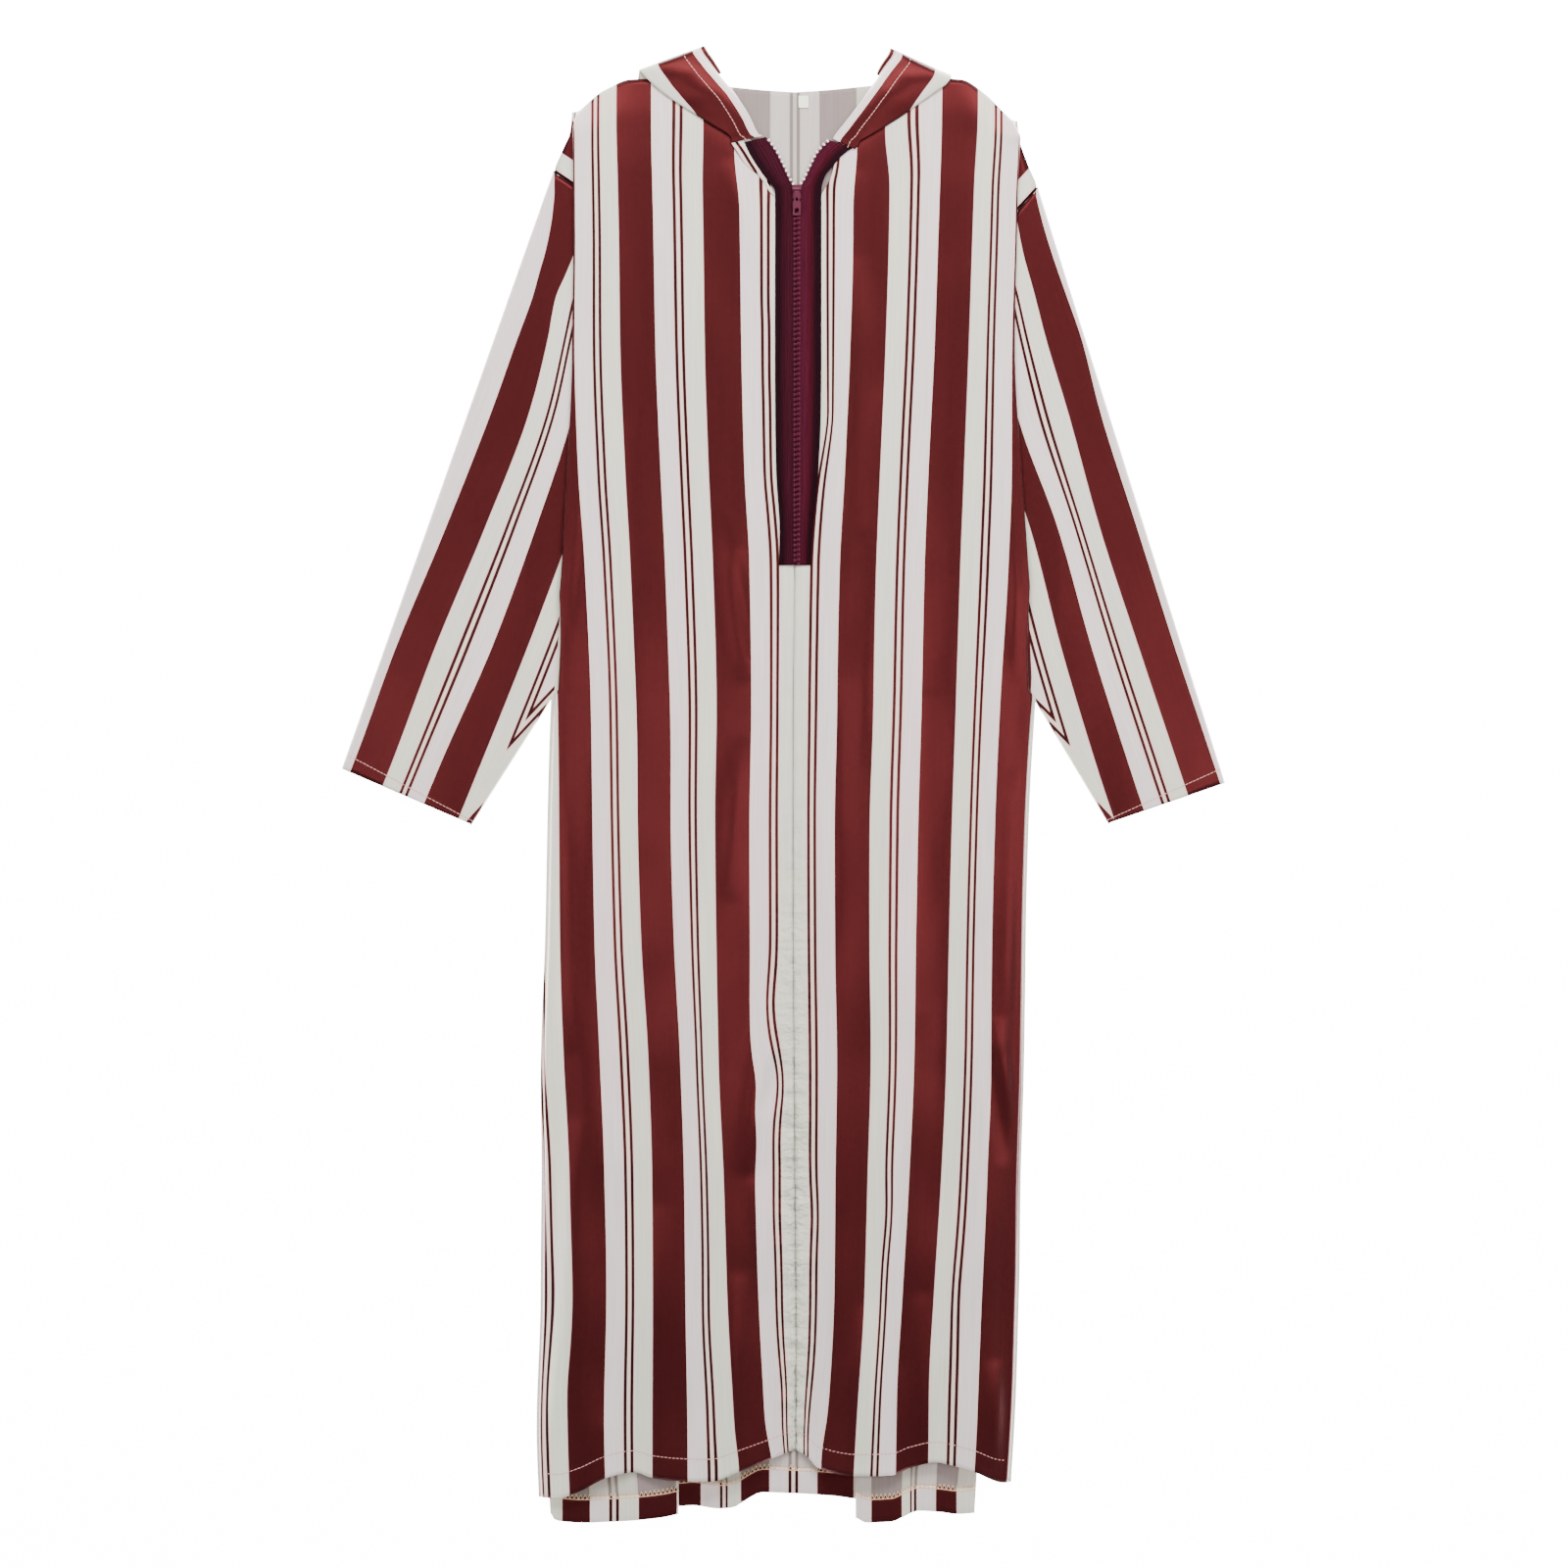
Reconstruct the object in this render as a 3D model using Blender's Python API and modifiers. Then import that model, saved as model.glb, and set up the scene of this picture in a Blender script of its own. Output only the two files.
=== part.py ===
"""Hooded robe of striped cloth, laid flat on its back with its front up.

Lengths are in millimetres and are scaled to metres when a mesh is made.
A place on the robe is given by its side (-1 left, +1 right), its distance x from the centre front line,
its drop below the top of the shoulders, and its height z above the surface that the robe lies on.
"""
import math

import bmesh
import bpy

MM = 0.001
LEFT, RIGHT = -1, 1
SIDES = {LEFT: "left", RIGHT: "right"}

# Driving sizes
WALL = 1.2                  # cloth, drawn at the thickness of a wall
SEAM_GAP = 0.3              # between two pieces that are sewn together
CENTRE_X = 10.5             # centre front line from the middle of the robe's box
SHOULDER_Y = 653.35         # top of the shoulders from the middle of the robe's box
FLOOR_LAYER = WALL / 2      # middle of a layer that lies on the surface
ARMHOLE_Z = 3.4             # middle of the front's and the sleeve's upper layer at the armhole seam
SEAM_Z = FLOOR_LAYER + WALL + SEAM_GAP   # middle of the front where it is sewn to the back
TUCK_RADIUS = 1.3           # middle of the cloth where it turns back on itself
BEND_STEPS = 4
MIN_BEND = 3.0              # least length of cloth that a bend takes
RED_MIDDLES = (58.3, 137.5, 216.7)   # middles of the red stripes, along the cloth from the centre seam
CLOTH_END = 280.0           # past the end of the cloth, along it

# Fronts: where the centre edge and the middles of the three red stripes lie,
# and how much cloth shows between the centre edge and the side
FRONT_COLUMNS = ("drop", "edge", "first", "second", "third", "shown")
FRONT_ROWS = {
    LEFT: [
        (27, 30.0, 69.0, 148.5, 216.0, 201.0),
        (58, 27.0, 68.5, 148.5, 216.0, 202.0),
        (111, 9.5, 67.5, 147.0, 216.0, 202.0),
        (148, 9.0, 67.0, 146.0, 216.0, 202.0),
        (256, 8.0, 65.7, 144.0, 217.5, 202.5),
        (364, 6.3, 62.6, 139.5, 214.5, 211.0),
        (452, 0.0, 58.5, 135.0, 208.0, 223.0),
        (580, 1.5, 55.8, 130.5, 202.0, 241.0),
        (688, 1.7, 57.6, 129.0, 200.7, 246.0),
        (796, 1.5, 57.0, 125.5, 199.3, 249.0),
        (904, 0.7, 56.0, 119.0, 195.3, 256.0),
        (1012, 0.0, 51.3, 115.6, 190.0, 262.0),
        (1120, -1.0, 47.7, 114.7, 188.5, 265.0),
        (1228, -1.0, 41.8, 114.3, 191.2, 264.0),
        (1300, -1.0, 38.7, 114.3, 189.5, 264.0),
    ],
    RIGHT: [
        (27, 38.0, 69.0, 153.0, 219.0, 201.0),
        (58, 35.0, 68.0, 152.5, 219.0, 202.0),
        (111, 14.0, 70.0, 149.5, 217.0, 202.0),
        (148, 13.5, 69.7, 148.0, 216.5, 202.0),
        (256, 12.0, 66.6, 144.0, 214.0, 203.0),
        (364, 7.0, 62.0, 139.0, 215.0, 209.5),
        (452, 0.0, 58.0, 135.5, 212.0, 219.0),
        (580, -1.5, 54.9, 132.3, 203.0, 236.5),
        (688, -1.7, 52.2, 129.0, 198.0, 236.0),
        (796, -1.5, 52.6, 126.4, 195.3, 236.0),
        (904, -0.7, 54.4, 124.2, 194.4, 235.0),
        (1012, 0.0, 52.2, 119.2, 191.7, 234.0),
        (1120, 1.0, 50.4, 112.5, 187.6, 236.0),
        (1228, 1.0, 44.1, 107.5, 183.6, 236.0),
        (1300, 1.0, 39.6, 107.0, 179.1, 237.0),
    ],
}

# Armhole seam: the end of the shoulder, then down to the underarm
SEAM_COLUMNS = ("drop", "x")
SEAM_ROWS = {
    LEFT: [(27, 204.5), (50, 206.5), (72, 213.5), (91, 220.5), (104, 201.5), (148, 198.0), (202, 197.0),
           (256, 197.0), (310, 198.0), (364, 203.0), (418, 208.5), (472, 214.0), (526, 217.5), (567, 220.5)],
    RIGHT: [(27, 204.5), (62, 207.0), (87, 215.0), (106, 222.0), (128, 204.0), (160, 199.5), (202, 198.5),
            (256, 198.5), (310, 199.0), (364, 203.0), (418, 208.5), (472, 213.5), (526, 216.0), (569, 218.0)],
}
SHOULDER_END = 3            # row of the armhole table where the shoulder ends and the sleeve starts
LOWER_DROPS = (640, 700, 760, 830, 904, 976, 1048, 1120, 1180, 1240, 1285)
BODY_TOP, BODY_BOTTOM = 27.0, 1285.0
ZIP_END = 452.0             # the centre seam runs from here to the hem

# The front's tuck beside the armhole, which turns into a plain rolled side further down
TUCK_COLUMNS = ("drop", "turn", "depth")
FRONT_TUCK = [(27, 80, 1), (50, 150, 6), (72, 180, 12), (91, 180, 18), (202, 180, 20), (310, 180, 18),
              (364, 175, 14), (418, 160, 9), (472, 130, 5), (526, 90, 3), (580, 72, 2), (1300, 72, 2)]

# Height of the front's outer edge, sewn to the back at the shoulder and the side and to the sleeve between them
OUTER_EDGE = [(27, SEAM_Z), (50, ARMHOLE_Z), (567, ARMHOLE_Z), (640, SEAM_Z), (1300, SEAM_Z)]

# Heights of the front, across from the centre edge: a valley at the seam, a ridge, a valley and a ridge
FLUTE_PLACES = (0.0, 0.38, 0.66, 0.86)
FLUTE_COLUMNS = ("drop", "centre", "inner_ridge", "valley", "outer_ridge")
FRONT_FLUTES = [(27, 5.9, 5.9, 5.9, 3.8), (60, 7.4, 7.6, 7.4, 8.0), (200, 7.2, 8.6, 7.4, 8.8),
                (364, 6.6, 9.6, 6.6, 9.6), (452, 5.0, 10.4, 6.0, 10.0), (640, 3.6, 12.5, 5.6, 10.5),
                (904, 3.2, 16.0, 6.4, 12.5), (1100, 3.2, 18.5, 9.6, 14.5), (1300, 3.4, 21.0, 10.0, 16.0)]

# Upper edges and hems, as the drop at each distance from the centre front line
FRONT_TOP = [(0, 66), (35, 64), (55, 50), (75, 34), (100, 12), (140, 6), (152, 6.5), (175, 16), (201, 27), (260, 27)]
BACK_TOP = [(0, 18), (30, 16), (60, 13), (100, 9), (140, 6), (152, 6.5), (175, 16), (201, 27), (260, 27)]
FRONT_HEM = {
    LEFT: [(0, 1263), (20, 1270), (53, 1282), (77, 1290), (103, 1290), (130, 1288), (147, 1283),
           (170, 1287), (200, 1301), (218, 1307), (240, 1306)],
    RIGHT: [(0, 1263), (10, 1268), (22, 1279), (55, 1285), (88, 1285), (105, 1279), (129, 1274),
            (147, 1277), (164, 1282), (192, 1293), (210, 1293)],
}
BACK_HEM = {
    LEFT: [(0, 1303), (30, 1302), (45, 1309), (57, 1316), (70, 1317), (93, 1314), (106, 1315), (108, 1321),
           (136, 1326), (159, 1328), (192, 1330), (219, 1328), (226, 1318)],
    RIGHT: [(0, 1303), (19, 1304), (54, 1308), (57, 1324), (66, 1329), (89, 1328), (99, 1324), (113, 1319),
            (132, 1320), (150, 1322), (164, 1321)],
}
TOP_FADE = 230.0            # rows follow the upper edge at first and are level after this length
HEM_START = 1100.0          # and follow the hem from here down
FRONT_STEPS = 15

# Backs: the side edge below the underarm, and the tuck near the hem
BACK_SIDE = {
    LEFT: [(567, 220.5), (700, 222.5), (796, 225.0), (904, 228.0), (1012, 231.0), (1120, 231.0), (1240, 228.0),
           (1320, 222.0)],
    RIGHT: [(569, 218.0), (700, 212.5), (796, 210.0), (850, 208.0), (1012, 198.0), (1120, 187.0), (1240, 169.0),
            (1320, 163.0)],
}
BACK_TUCK_X = {LEFT: 107.0, RIGHT: 56.0}
BACK_TUCK = {
    LEFT: [(0, 0, 3), (1048, 0, 3), (1120, 50, 1), (1180, 110, 1), (1240, 180, 16), (1320, 180, 29)],
    RIGHT: [(0, 0, 3), (1048, 0, 3), (1120, 45, 1), (1180, 100, 1), (1240, 180, 9), (1320, 180, 16)],
}
TUCK_CLEAR = 2.0            # the hem's step lies between the layers of the tuck
TUCK_ROOM = 16.0            # the upper layer stays level this far past the cloth turned under it
TUCK_FADE = 34.0            # and comes down to the surface over this length
BACK_DROPS = (640, 760, 904, 1048, 1120, 1180, 1240, 1290)
BACK_BOTTOM = 1290.0
BACK_OUTER_STEPS, BACK_INNER_STEPS = 8, 6

# Sleeves: the two corners of each cuff
CUFF = {LEFT: ((414.5, 639.0), (298.0, 689.0)), RIGHT: ((393.5, 652.0), (289.0, 688.0))}
SLEEVE_STEPS = (0.0, 0.04, 0.1, 0.2, 0.32, 0.46, 0.6, 0.74, 0.88, 1.0)
SLEEVE_BULGE = 2.4
BULGE_START = 0.3           # share of the length over which the sleeve rises to that
OUTER_ROUND = (1.2, -0.5)   # how far the edges round out, as x and drop
UNDER_ROUND = (-0.65, 1.2)
UNDERARM_CLEARANCE = 2.6

# Hood: its front edge and outer edge, from the zip over the shoulder and under the back to the centre seam
HOOD_COLUMNS = ("front_x", "front_drop", "outer_x", "outer_drop", "z", "crown")
HOOD_ROWS = [
    (38.0, 57.5, 49.0, 62.0, 9.4, 0.3),
    (50.0, 38.0, 68.0, 53.0, 9.4, 2.0),
    (60.0, 21.0, 92.0, 38.5, 9.4, 4.5),
    (68.0, 7.0, 110.0, 27.0, 9.5, 6.0),
    (77.0, -6.0, 126.0, 15.0, 9.5, 6.0),
    (85.0, -16.5, 138.0, 3.5, 9.6, 4.0),
    (87.0, -20.5, 141.0, -0.5, 9.0, 2.4),
    (87.5, -22.5, 142.5, -2.5, 6.0, 0.6),
    (88.0, -20.5, 143.0, -1.5, 2.6, 0.0),
    (86.0, -13.0, 144.0, 7.0, 1.6, 0.0),
    (72.0, 10.0, 145.0, 30.0, 1.6, 0.0),
    (40.0, 30.0, 146.0, 70.0, 1.6, 0.0),
    (0.15, 50.0, 144.0, 120.0, 1.6, 0.0),
    (0.15, 110.0, 134.0, 180.0, 1.6, 0.0),
    (0.15, 175.0, 110.0, 235.0, 1.6, 0.0),
    (0.15, 235.0, 72.0, 275.0, 1.6, 0.0),
    (0.15, 285.0, 22.0, 296.0, 1.6, 0.0),
]
HOOD_FOLDED = 9             # first row of the part that is folded under the back
HOOD_THICK = 3.2
HOOD_LAP = 0.5              # share of that thickness which the single layer on the shoulder has
HOOD_STEPS = 6
HOOD_ROUNDING = 0.8         # moves the crown towards the outer edge
HOOD_LIFT = 0.2             # between the folded hood and the back, on top of the seam's gap
HOOD_WIDTH, HOOD_BOTTOM, HOOD_TOP_STRAIGHT = 146.0, 297.0, 110.0
HOOD_CLEARANCE = 34.0       # the back stays level this far below the folded hood
HOOD_MARGIN = 1.04          # and this far round it, as a share of its width
HOOD_FADE = 26.0            # then comes down to the surface over this length

# Zip: outer and inner edge of each tape, then the teeth inside them
TAPE_COLUMNS = ("out_x", "out_drop", "in_x", "in_drop")
TAPE_ROWS = {
    LEFT: [(43.0, 61.0, 27.5, 64.0), (41.0, 76.0, 18.5, 73.0), (33.5, 88.0, 12.0, 86.0), (25.0, 99.0, 6.5, 98.0),
           (18.0, 111.0, 1.5, 110.0), (18.0, 150.0, 1.5, 150.0), (18.0, 200.0, 1.5, 200.0),
           (18.0, 256.0, 1.5, 256.0), (17.8, 310.0, 1.5, 310.0), (17.0, 364.0, 1.5, 364.0),
           (13.8, 418.0, 1.5, 418.0), (14.4, 452.0, 1.5, 452.0)],
    RIGHT: [(54.0, 69.0, 33.0, 63.0), (44.0, 76.0, 23.0, 73.0), (35.0, 86.0, 16.0, 86.0), (27.0, 97.0, 10.5, 98.0),
            (24.3, 111.0, 5.1, 110.0), (24.3, 150.0, 5.1, 150.0), (24.3, 200.0, 5.1, 200.0),
            (24.3, 256.0, 5.1, 256.0), (23.8, 310.0, 5.1, 310.0), (21.6, 364.0, 5.1, 364.0),
            (16.4, 418.0, 5.1, 418.0), (14.4, 452.0, 5.1, 452.0)],
}
TAPE_STEPS = 4
TAPE_RISE = WALL + SEAM_GAP # the tape lies on the front and keeps that level where the front's edges part
TAPE_PLACE = 0.06           # where the front's height is read, as a share of the way to the side
TOOTH_WIDTH = 2.7
TOOTH_THICK = 2.2

ZIP_X = 1.8                 # middle of the closed chain, right of the centre front line
ZIP_Z = 8.7                 # middle of the chain at the slider
SLIDER_DROP = 110.0
SLIDER_SIZE = (9.0, 13.0)
PLATE = 1.1
PLATE_GAP = 1.5             # from the middle of the chain to a plate
POST = (1.6, 3.0)
POST_INSET = 1.6            # from the top of the slider to the middle of its post
EAR = (1.1, 3.4, 3.6)
EAR_SINK = 0.2
EAR_SPACING = 6.2
PIN_RADIUS = 0.8
PIN_RISE = 2.4              # pin above the upper plate
PIN_DROP = 108.0
TAB_SIZE = (4.6, 24.0, 1.5)
TAB_WIDE = 6.6
TAB_NECK = 3.6
TAB_NECK_SHARE = 0.5        # of the tab's length
TAB_PLATE_SHARE = 0.55
TAB_BEVEL = 0.6
TAB_EYE = 1.75
TAB_HOLE = 1.15
TAB_DROOP = 6.0             # its end hangs down to the teeth

LABEL = (9.0, 11.0, 1.0)
LABEL_PLACE = (8.0, 27.0)
LABEL_BEVEL = 0.3

MATERIALS = {
    "striped_satin": ((0.30, 0.055, 0.055), 0.42, 0.0),
    "wine_tape": ((0.060, 0.012, 0.022), 0.7, 0.0),
    "wine_resin": ((0.100, 0.014, 0.032), 0.38, 0.0),
    "slider_paint": ((0.130, 0.018, 0.040), 0.32, 0.3),
    "label_cloth": ((0.80, 0.79, 0.74), 0.6, 0.0),
}


def clear_scene():
    for item in list(bpy.data.objects):
        bpy.data.objects.remove(item, do_unlink=True)


def make_materials():
    made = {}
    for name, (colour, roughness, metallic) in MATERIALS.items():
        material = bpy.data.materials.new(name)
        material.use_nodes = True
        shader = material.node_tree.nodes["Principled BSDF"]
        shader.inputs["Base Color"].default_value = (*colour, 1.0)
        shader.inputs["Roughness"].default_value = roughness
        shader.inputs["Metallic"].default_value = metallic
        made[name] = material
    return made


def smooth_curve(points, at):
    """Smooth curve through (place, value) points that never overshoots them."""
    if at <= points[0][0]:
        return points[0][1]
    if at >= points[-1][0]:
        return points[-1][1]
    slopes = [(b[1] - a[1]) / (b[0] - a[0]) for a, b in zip(points, points[1:])]
    index = max(i for i, point in enumerate(points[:-1]) if point[0] <= at)

    def tangent(i):
        if i == 0 or i == len(points) - 1:
            return slopes[min(i, len(slopes) - 1)]
        before, after = slopes[i - 1], slopes[i]
        return 0.0 if before * after <= 0 else 2 * before * after / (before + after)

    (x0, y0), (x1, y1) = points[index], points[index + 1]
    span = x1 - x0
    t = (at - x0) / span
    return (y0 * (1 + 2 * t) * (1 - t) ** 2 + span * tangent(index) * t * (1 - t) ** 2
            + y1 * t * t * (3 - 2 * t) + span * tangent(index + 1) * t * t * (t - 1))


def column(rows, names, name, at):
    """Value of a table's named column at a place given in its first column."""
    pick = names.index(name)
    return smooth_curve([(row[0], row[pick]) for row in rows], at)


def world(side, x, drop, z):
    return ((CENTRE_X + side * x) * MM, (SHOULDER_Y - drop) * MM, z * MM)


def grid_mesh(name, side, rows, closed=False):
    """Open sheet through rows of (x, drop, z) points, its outside facing up."""
    mesh = bpy.data.meshes.new(name)
    points = [world(side, *point) for row in rows for point in row]
    count = len(rows[0])
    across = count if closed else count - 1
    faces = []
    for i in range(len(rows) - 1):
        for j in range(across):
            k = (j + 1) % count
            face = (i * count + j, i * count + k, (i + 1) * count + k, (i + 1) * count + j)
            faces.append(face if side == LEFT else face[::-1])
    mesh.from_pydata(points, [], faces)
    mesh.shade_smooth()
    return mesh


def add_sheet(collection, material, name, side, rows, thickness=WALL, weights=None, closed=False):
    """Cloth wall: an open sheet thickened to both sides."""
    mesh = grid_mesh(name, side, rows, closed)
    sheet = bpy.data.objects.new(name, mesh)
    collection.objects.link(sheet)
    mesh.materials.append(material)
    wall = sheet.modifiers.new("wall", "SOLIDIFY")
    wall.thickness = thickness * MM
    wall.offset = 0.0
    if weights:
        group = sheet.vertex_groups.new(name="thickness")
        count = len(rows[0])
        for i, weight in enumerate(weights):
            group.add(list(range(i * count, (i + 1) * count)), weight, "REPLACE")
        wall.vertex_group = "thickness"
    return sheet


def tuck_path(turn, depth, radius=TUCK_RADIUS):
    """Cloth that turns down by an angle, runs on and turns level again, as (forward, down) steps."""
    bend = max(radius * math.radians(turn), MIN_BEND)
    step = bend / BEND_STEPS
    angle_step = math.radians(turn) / BEND_STEPS
    path = [(0.0, 0.0)]

    def go(length, angle):
        x, z = path[-1]
        path.append((x + length * math.cos(angle), z - length * math.sin(angle)))

    for i in range(BEND_STEPS):
        go(step, angle_step * (i + 0.5))
    go(depth, math.radians(turn))
    for i in range(BEND_STEPS):
        go(step, angle_step * (BEND_STEPS - i - 0.5))
    return path


def hood_shape(x, drop):
    """1 over the hood that is folded under the back, falling to 0 outside it."""
    fall = max(0.0, drop - HOOD_TOP_STRAIGHT) / (HOOD_BOTTOM + HOOD_CLEARANCE - HOOD_TOP_STRAIGHT)
    reach = math.hypot(x / HOOD_WIDTH, fall)
    outside = max(0.0, (reach - HOOD_MARGIN) * HOOD_WIDTH / HOOD_FADE)
    return 0.5 + 0.5 * math.cos(math.pi * min(1.0, outside))


def back_height(x, drop):
    return FLOOR_LAYER + (HOOD_THICK + SEAM_GAP + HOOD_LIFT) * hood_shape(x, drop)


def front_height(across, drop):
    """Height of the front between the centre edge, 0, and the tuck or side, 1."""
    places = list(zip(FLUTE_PLACES, [column(FRONT_FLUTES, FLUTE_COLUMNS, name, drop)
                                     for name in FLUTE_COLUMNS[1:]]))
    return smooth_curve(places + [(1.0, tuck_top(drop))], across)


def tuck_top(drop):
    turn = column(FRONT_TUCK, TUCK_COLUMNS, "turn", drop)
    depth = column(FRONT_TUCK, TUCK_COLUMNS, "depth", drop)
    return smooth_curve(OUTER_EDGE, drop) - tuck_path(turn, depth)[-1][1]


def cloth_x(side, drop, along):
    """Distance from the centre front line of a place along the front's cloth."""
    names = FRONT_COLUMNS
    rows = FRONT_ROWS[side]
    places = [(0.0, column(rows, names, "edge", drop))]
    places += [(mid, column(rows, names, key, drop)) for mid, key in zip(RED_MIDDLES, names[2:5])]
    (u0, x0), (u1, x1) = places[-2:]
    places.append((CLOTH_END, x1 + (x1 - x0) / (u1 - u0) * (CLOTH_END - u1)))
    return smooth_curve(places, along)


def seam_x(side, drop):
    rows = SEAM_ROWS[side]
    if drop <= rows[-1][0]:
        return column(rows, SEAM_COLUMNS, "x", drop)
    shown = column(FRONT_ROWS[side], FRONT_COLUMNS, "shown", drop)
    return cloth_x(side, drop, shown)


def warp(places, drop, top, hem, bottom):
    """Bends a level row towards the upper edge and the hem, read at a place for each."""
    top_x, hem_x = places
    upper = max(0.0, 1.0 - (drop - BODY_TOP) / TOP_FADE)
    lower = max(0.0, (drop - HEM_START) / (bottom - HEM_START))
    return drop + (smooth_curve(top, top_x) - BODY_TOP) * upper + (smooth_curve(hem, hem_x) - bottom) * lower


def front_row(side, drop):
    shown = column(FRONT_ROWS[side], FRONT_COLUMNS, "shown", drop)
    turn = column(FRONT_TUCK, TUCK_COLUMNS, "turn", drop)
    depth = column(FRONT_TUCK, TUCK_COLUMNS, "depth", drop)
    path = tuck_path(turn, depth)
    seam = seam_x(side, drop)
    edge = cloth_x(side, drop, shown)
    widest = max(x for x, z in path)
    start = min(edge - widest - WALL / 2, seam - 1.0 - path[-1][0])
    points = []
    for i in range(FRONT_STEPS):
        share = i / FRONT_STEPS
        reach = cloth_x(side, drop, share * shown)
        first = cloth_x(side, drop, 0.0)
        x = first + (reach - first) * (start - first) / (edge - first)
        points.append((x + (SEAM_GAP if i == 0 and drop > ZIP_END else 0.0), front_height(share, drop)))
    top = front_height(1.0, drop)
    points += [(start + forward, top + down) for forward, down in path]
    low = smooth_curve(OUTER_EDGE, drop)
    points += [((points[-1][0] + seam) / 2, low), (seam, low)]
    return [(x, warp([min(x, start)] * 2, drop, FRONT_TOP, FRONT_HEM[side], BODY_BOTTOM), z)
            for x, z in points]


def body_drops(side, lower):
    return [row[0] for row in SEAM_ROWS[side]] + list(lower)


def add_front(collection, material, side):
    rows = [front_row(side, drop) for drop in body_drops(side, LOWER_DROPS)]
    return add_sheet(collection, material, "front_" + SIDES[side], side, rows)


def back_row(side, drop, centre_drop):
    """Half a row: the outer part comes in to the tuck, turns under and runs on to the centre line."""
    table = BACK_TUCK[side]
    path = tuck_path(column(table, TUCK_COLUMNS, "turn", drop), column(table, TUCK_COLUMNS, "depth", drop))
    rise = -path[-1][1]
    widest = max(x for x, z in path)
    underarm = SEAM_ROWS[side][-1][0]
    outer = seam_x(side, drop) if drop <= underarm else column(BACK_SIDE[side], SEAM_COLUMNS, "x", drop)
    tuck_x = BACK_TUCK_X[side]
    start = tuck_x + widest
    level_to = max(start - min(x for x, z in path), start) + TUCK_ROOM
    points = []
    for i in range(BACK_OUTER_STEPS):
        x = outer + (start - outer) * i / BACK_OUTER_STEPS
        beyond = min(1.0, max(0.0, x - level_to) / TUCK_FADE)
        points.append((x, rise * (0.5 + 0.5 * math.cos(math.pi * beyond))))
    points += [(start - forward, rise + down) for forward, down in path]
    last = points[-1][0]
    points += [(last * (1 - (i + 1) / BACK_INNER_STEPS), 0.0) for i in range(BACK_INNER_STEPS)]
    row = []
    for x, lift in points:
        level = drop + (centre_drop - drop) * max(0.0, 1 - x / last)
        upper_layer = lift > rise / 2 or x > start
        hem_x = max(x, tuck_x + TUCK_CLEAR) if upper_layer else min(x, tuck_x - TUCK_CLEAR)
        bent = warp((x, hem_x), level, BACK_TOP, BACK_HEM[side], BACK_BOTTOM)
        row.append((x, bent, back_height(x, bent) + lift))
    return row


def add_back(collection, material):
    """One panel across the whole back, its row's left half first."""
    rows = []
    for left, right in zip(body_drops(LEFT, BACK_DROPS), body_drops(RIGHT, BACK_DROPS)):
        centre = (left + right) / 2
        rows.append([(-x, drop, z) for x, drop, z in back_row(LEFT, left, centre)]
                    + back_row(RIGHT, right, centre)[-2::-1])
    return add_sheet(collection, material, "back", RIGHT, rows)


def add_sleeve(collection, material, side):
    """Flat tube between the armhole seam and the cuff: an upper layer, a lower layer and two edges."""
    seam = [(row[1] + SEAM_GAP, row[0] + SEAM_GAP) for row in SEAM_ROWS[side][SHOULDER_END:]]
    seam[-1] = (seam[-1][0] + UNDERARM_CLEARANCE, seam[-1][1])
    lengths = [0.0]
    for (x0, d0), (x1, d1) in zip(seam, seam[1:]):
        lengths.append(lengths[-1] + math.hypot(x1 - x0, d1 - d0))
    shares = [length / lengths[-1] for length in lengths]
    (outer_x, outer_drop), (under_x, under_drop) = CUFF[side]
    rows = []
    for step in SLEEVE_STEPS:
        upper, lower = [], []
        for (x0, d0), share in zip(seam, shares):
            x1 = outer_x + (under_x - outer_x) * share
            d1 = outer_drop + (under_drop - outer_drop) * share
            x, drop = x0 + (x1 - x0) * step, d0 + (d1 - d0) * step
            bulge = SLEEVE_BULGE * math.sin(math.pi * share) * min(1.0, step / BULGE_START)
            upper.append((x, drop, ARMHOLE_Z + bulge))
            lower.append((x, drop, FLOOR_LAYER))
        middle = (ARMHOLE_Z + FLOOR_LAYER) / 2
        (x0, d0, _), (x1, d1, _) = upper[0], upper[-1]
        outer = (x0 + OUTER_ROUND[0], d0 + OUTER_ROUND[1], middle)
        under = (x1 + UNDER_ROUND[0], d1 + UNDER_ROUND[1], middle)
        rows.append(lower + [under] + upper[::-1] + [outer])
    return add_sheet(collection, material, "sleeve_" + SIDES[side], side, rows, closed=True)


def add_hood(collection, material, side):
    rows = []
    for front_x, front_drop, outer_x, outer_drop, z, crown in HOOD_ROWS:
        row = []
        for i in range(HOOD_STEPS + 1):
            share = i / HOOD_STEPS
            height = z + crown * math.sin(math.pi * share ** HOOD_ROUNDING)
            row.append((front_x + (outer_x - front_x) * share,
                        front_drop + (outer_drop - front_drop) * share, height))
        rows.append(row)
    weights = [HOOD_LAP if i < HOOD_FOLDED - 1 else 1.0 for i in range(len(rows))]
    return add_sheet(collection, material, "hood_" + SIDES[side], side, rows, HOOD_THICK, weights)


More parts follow.
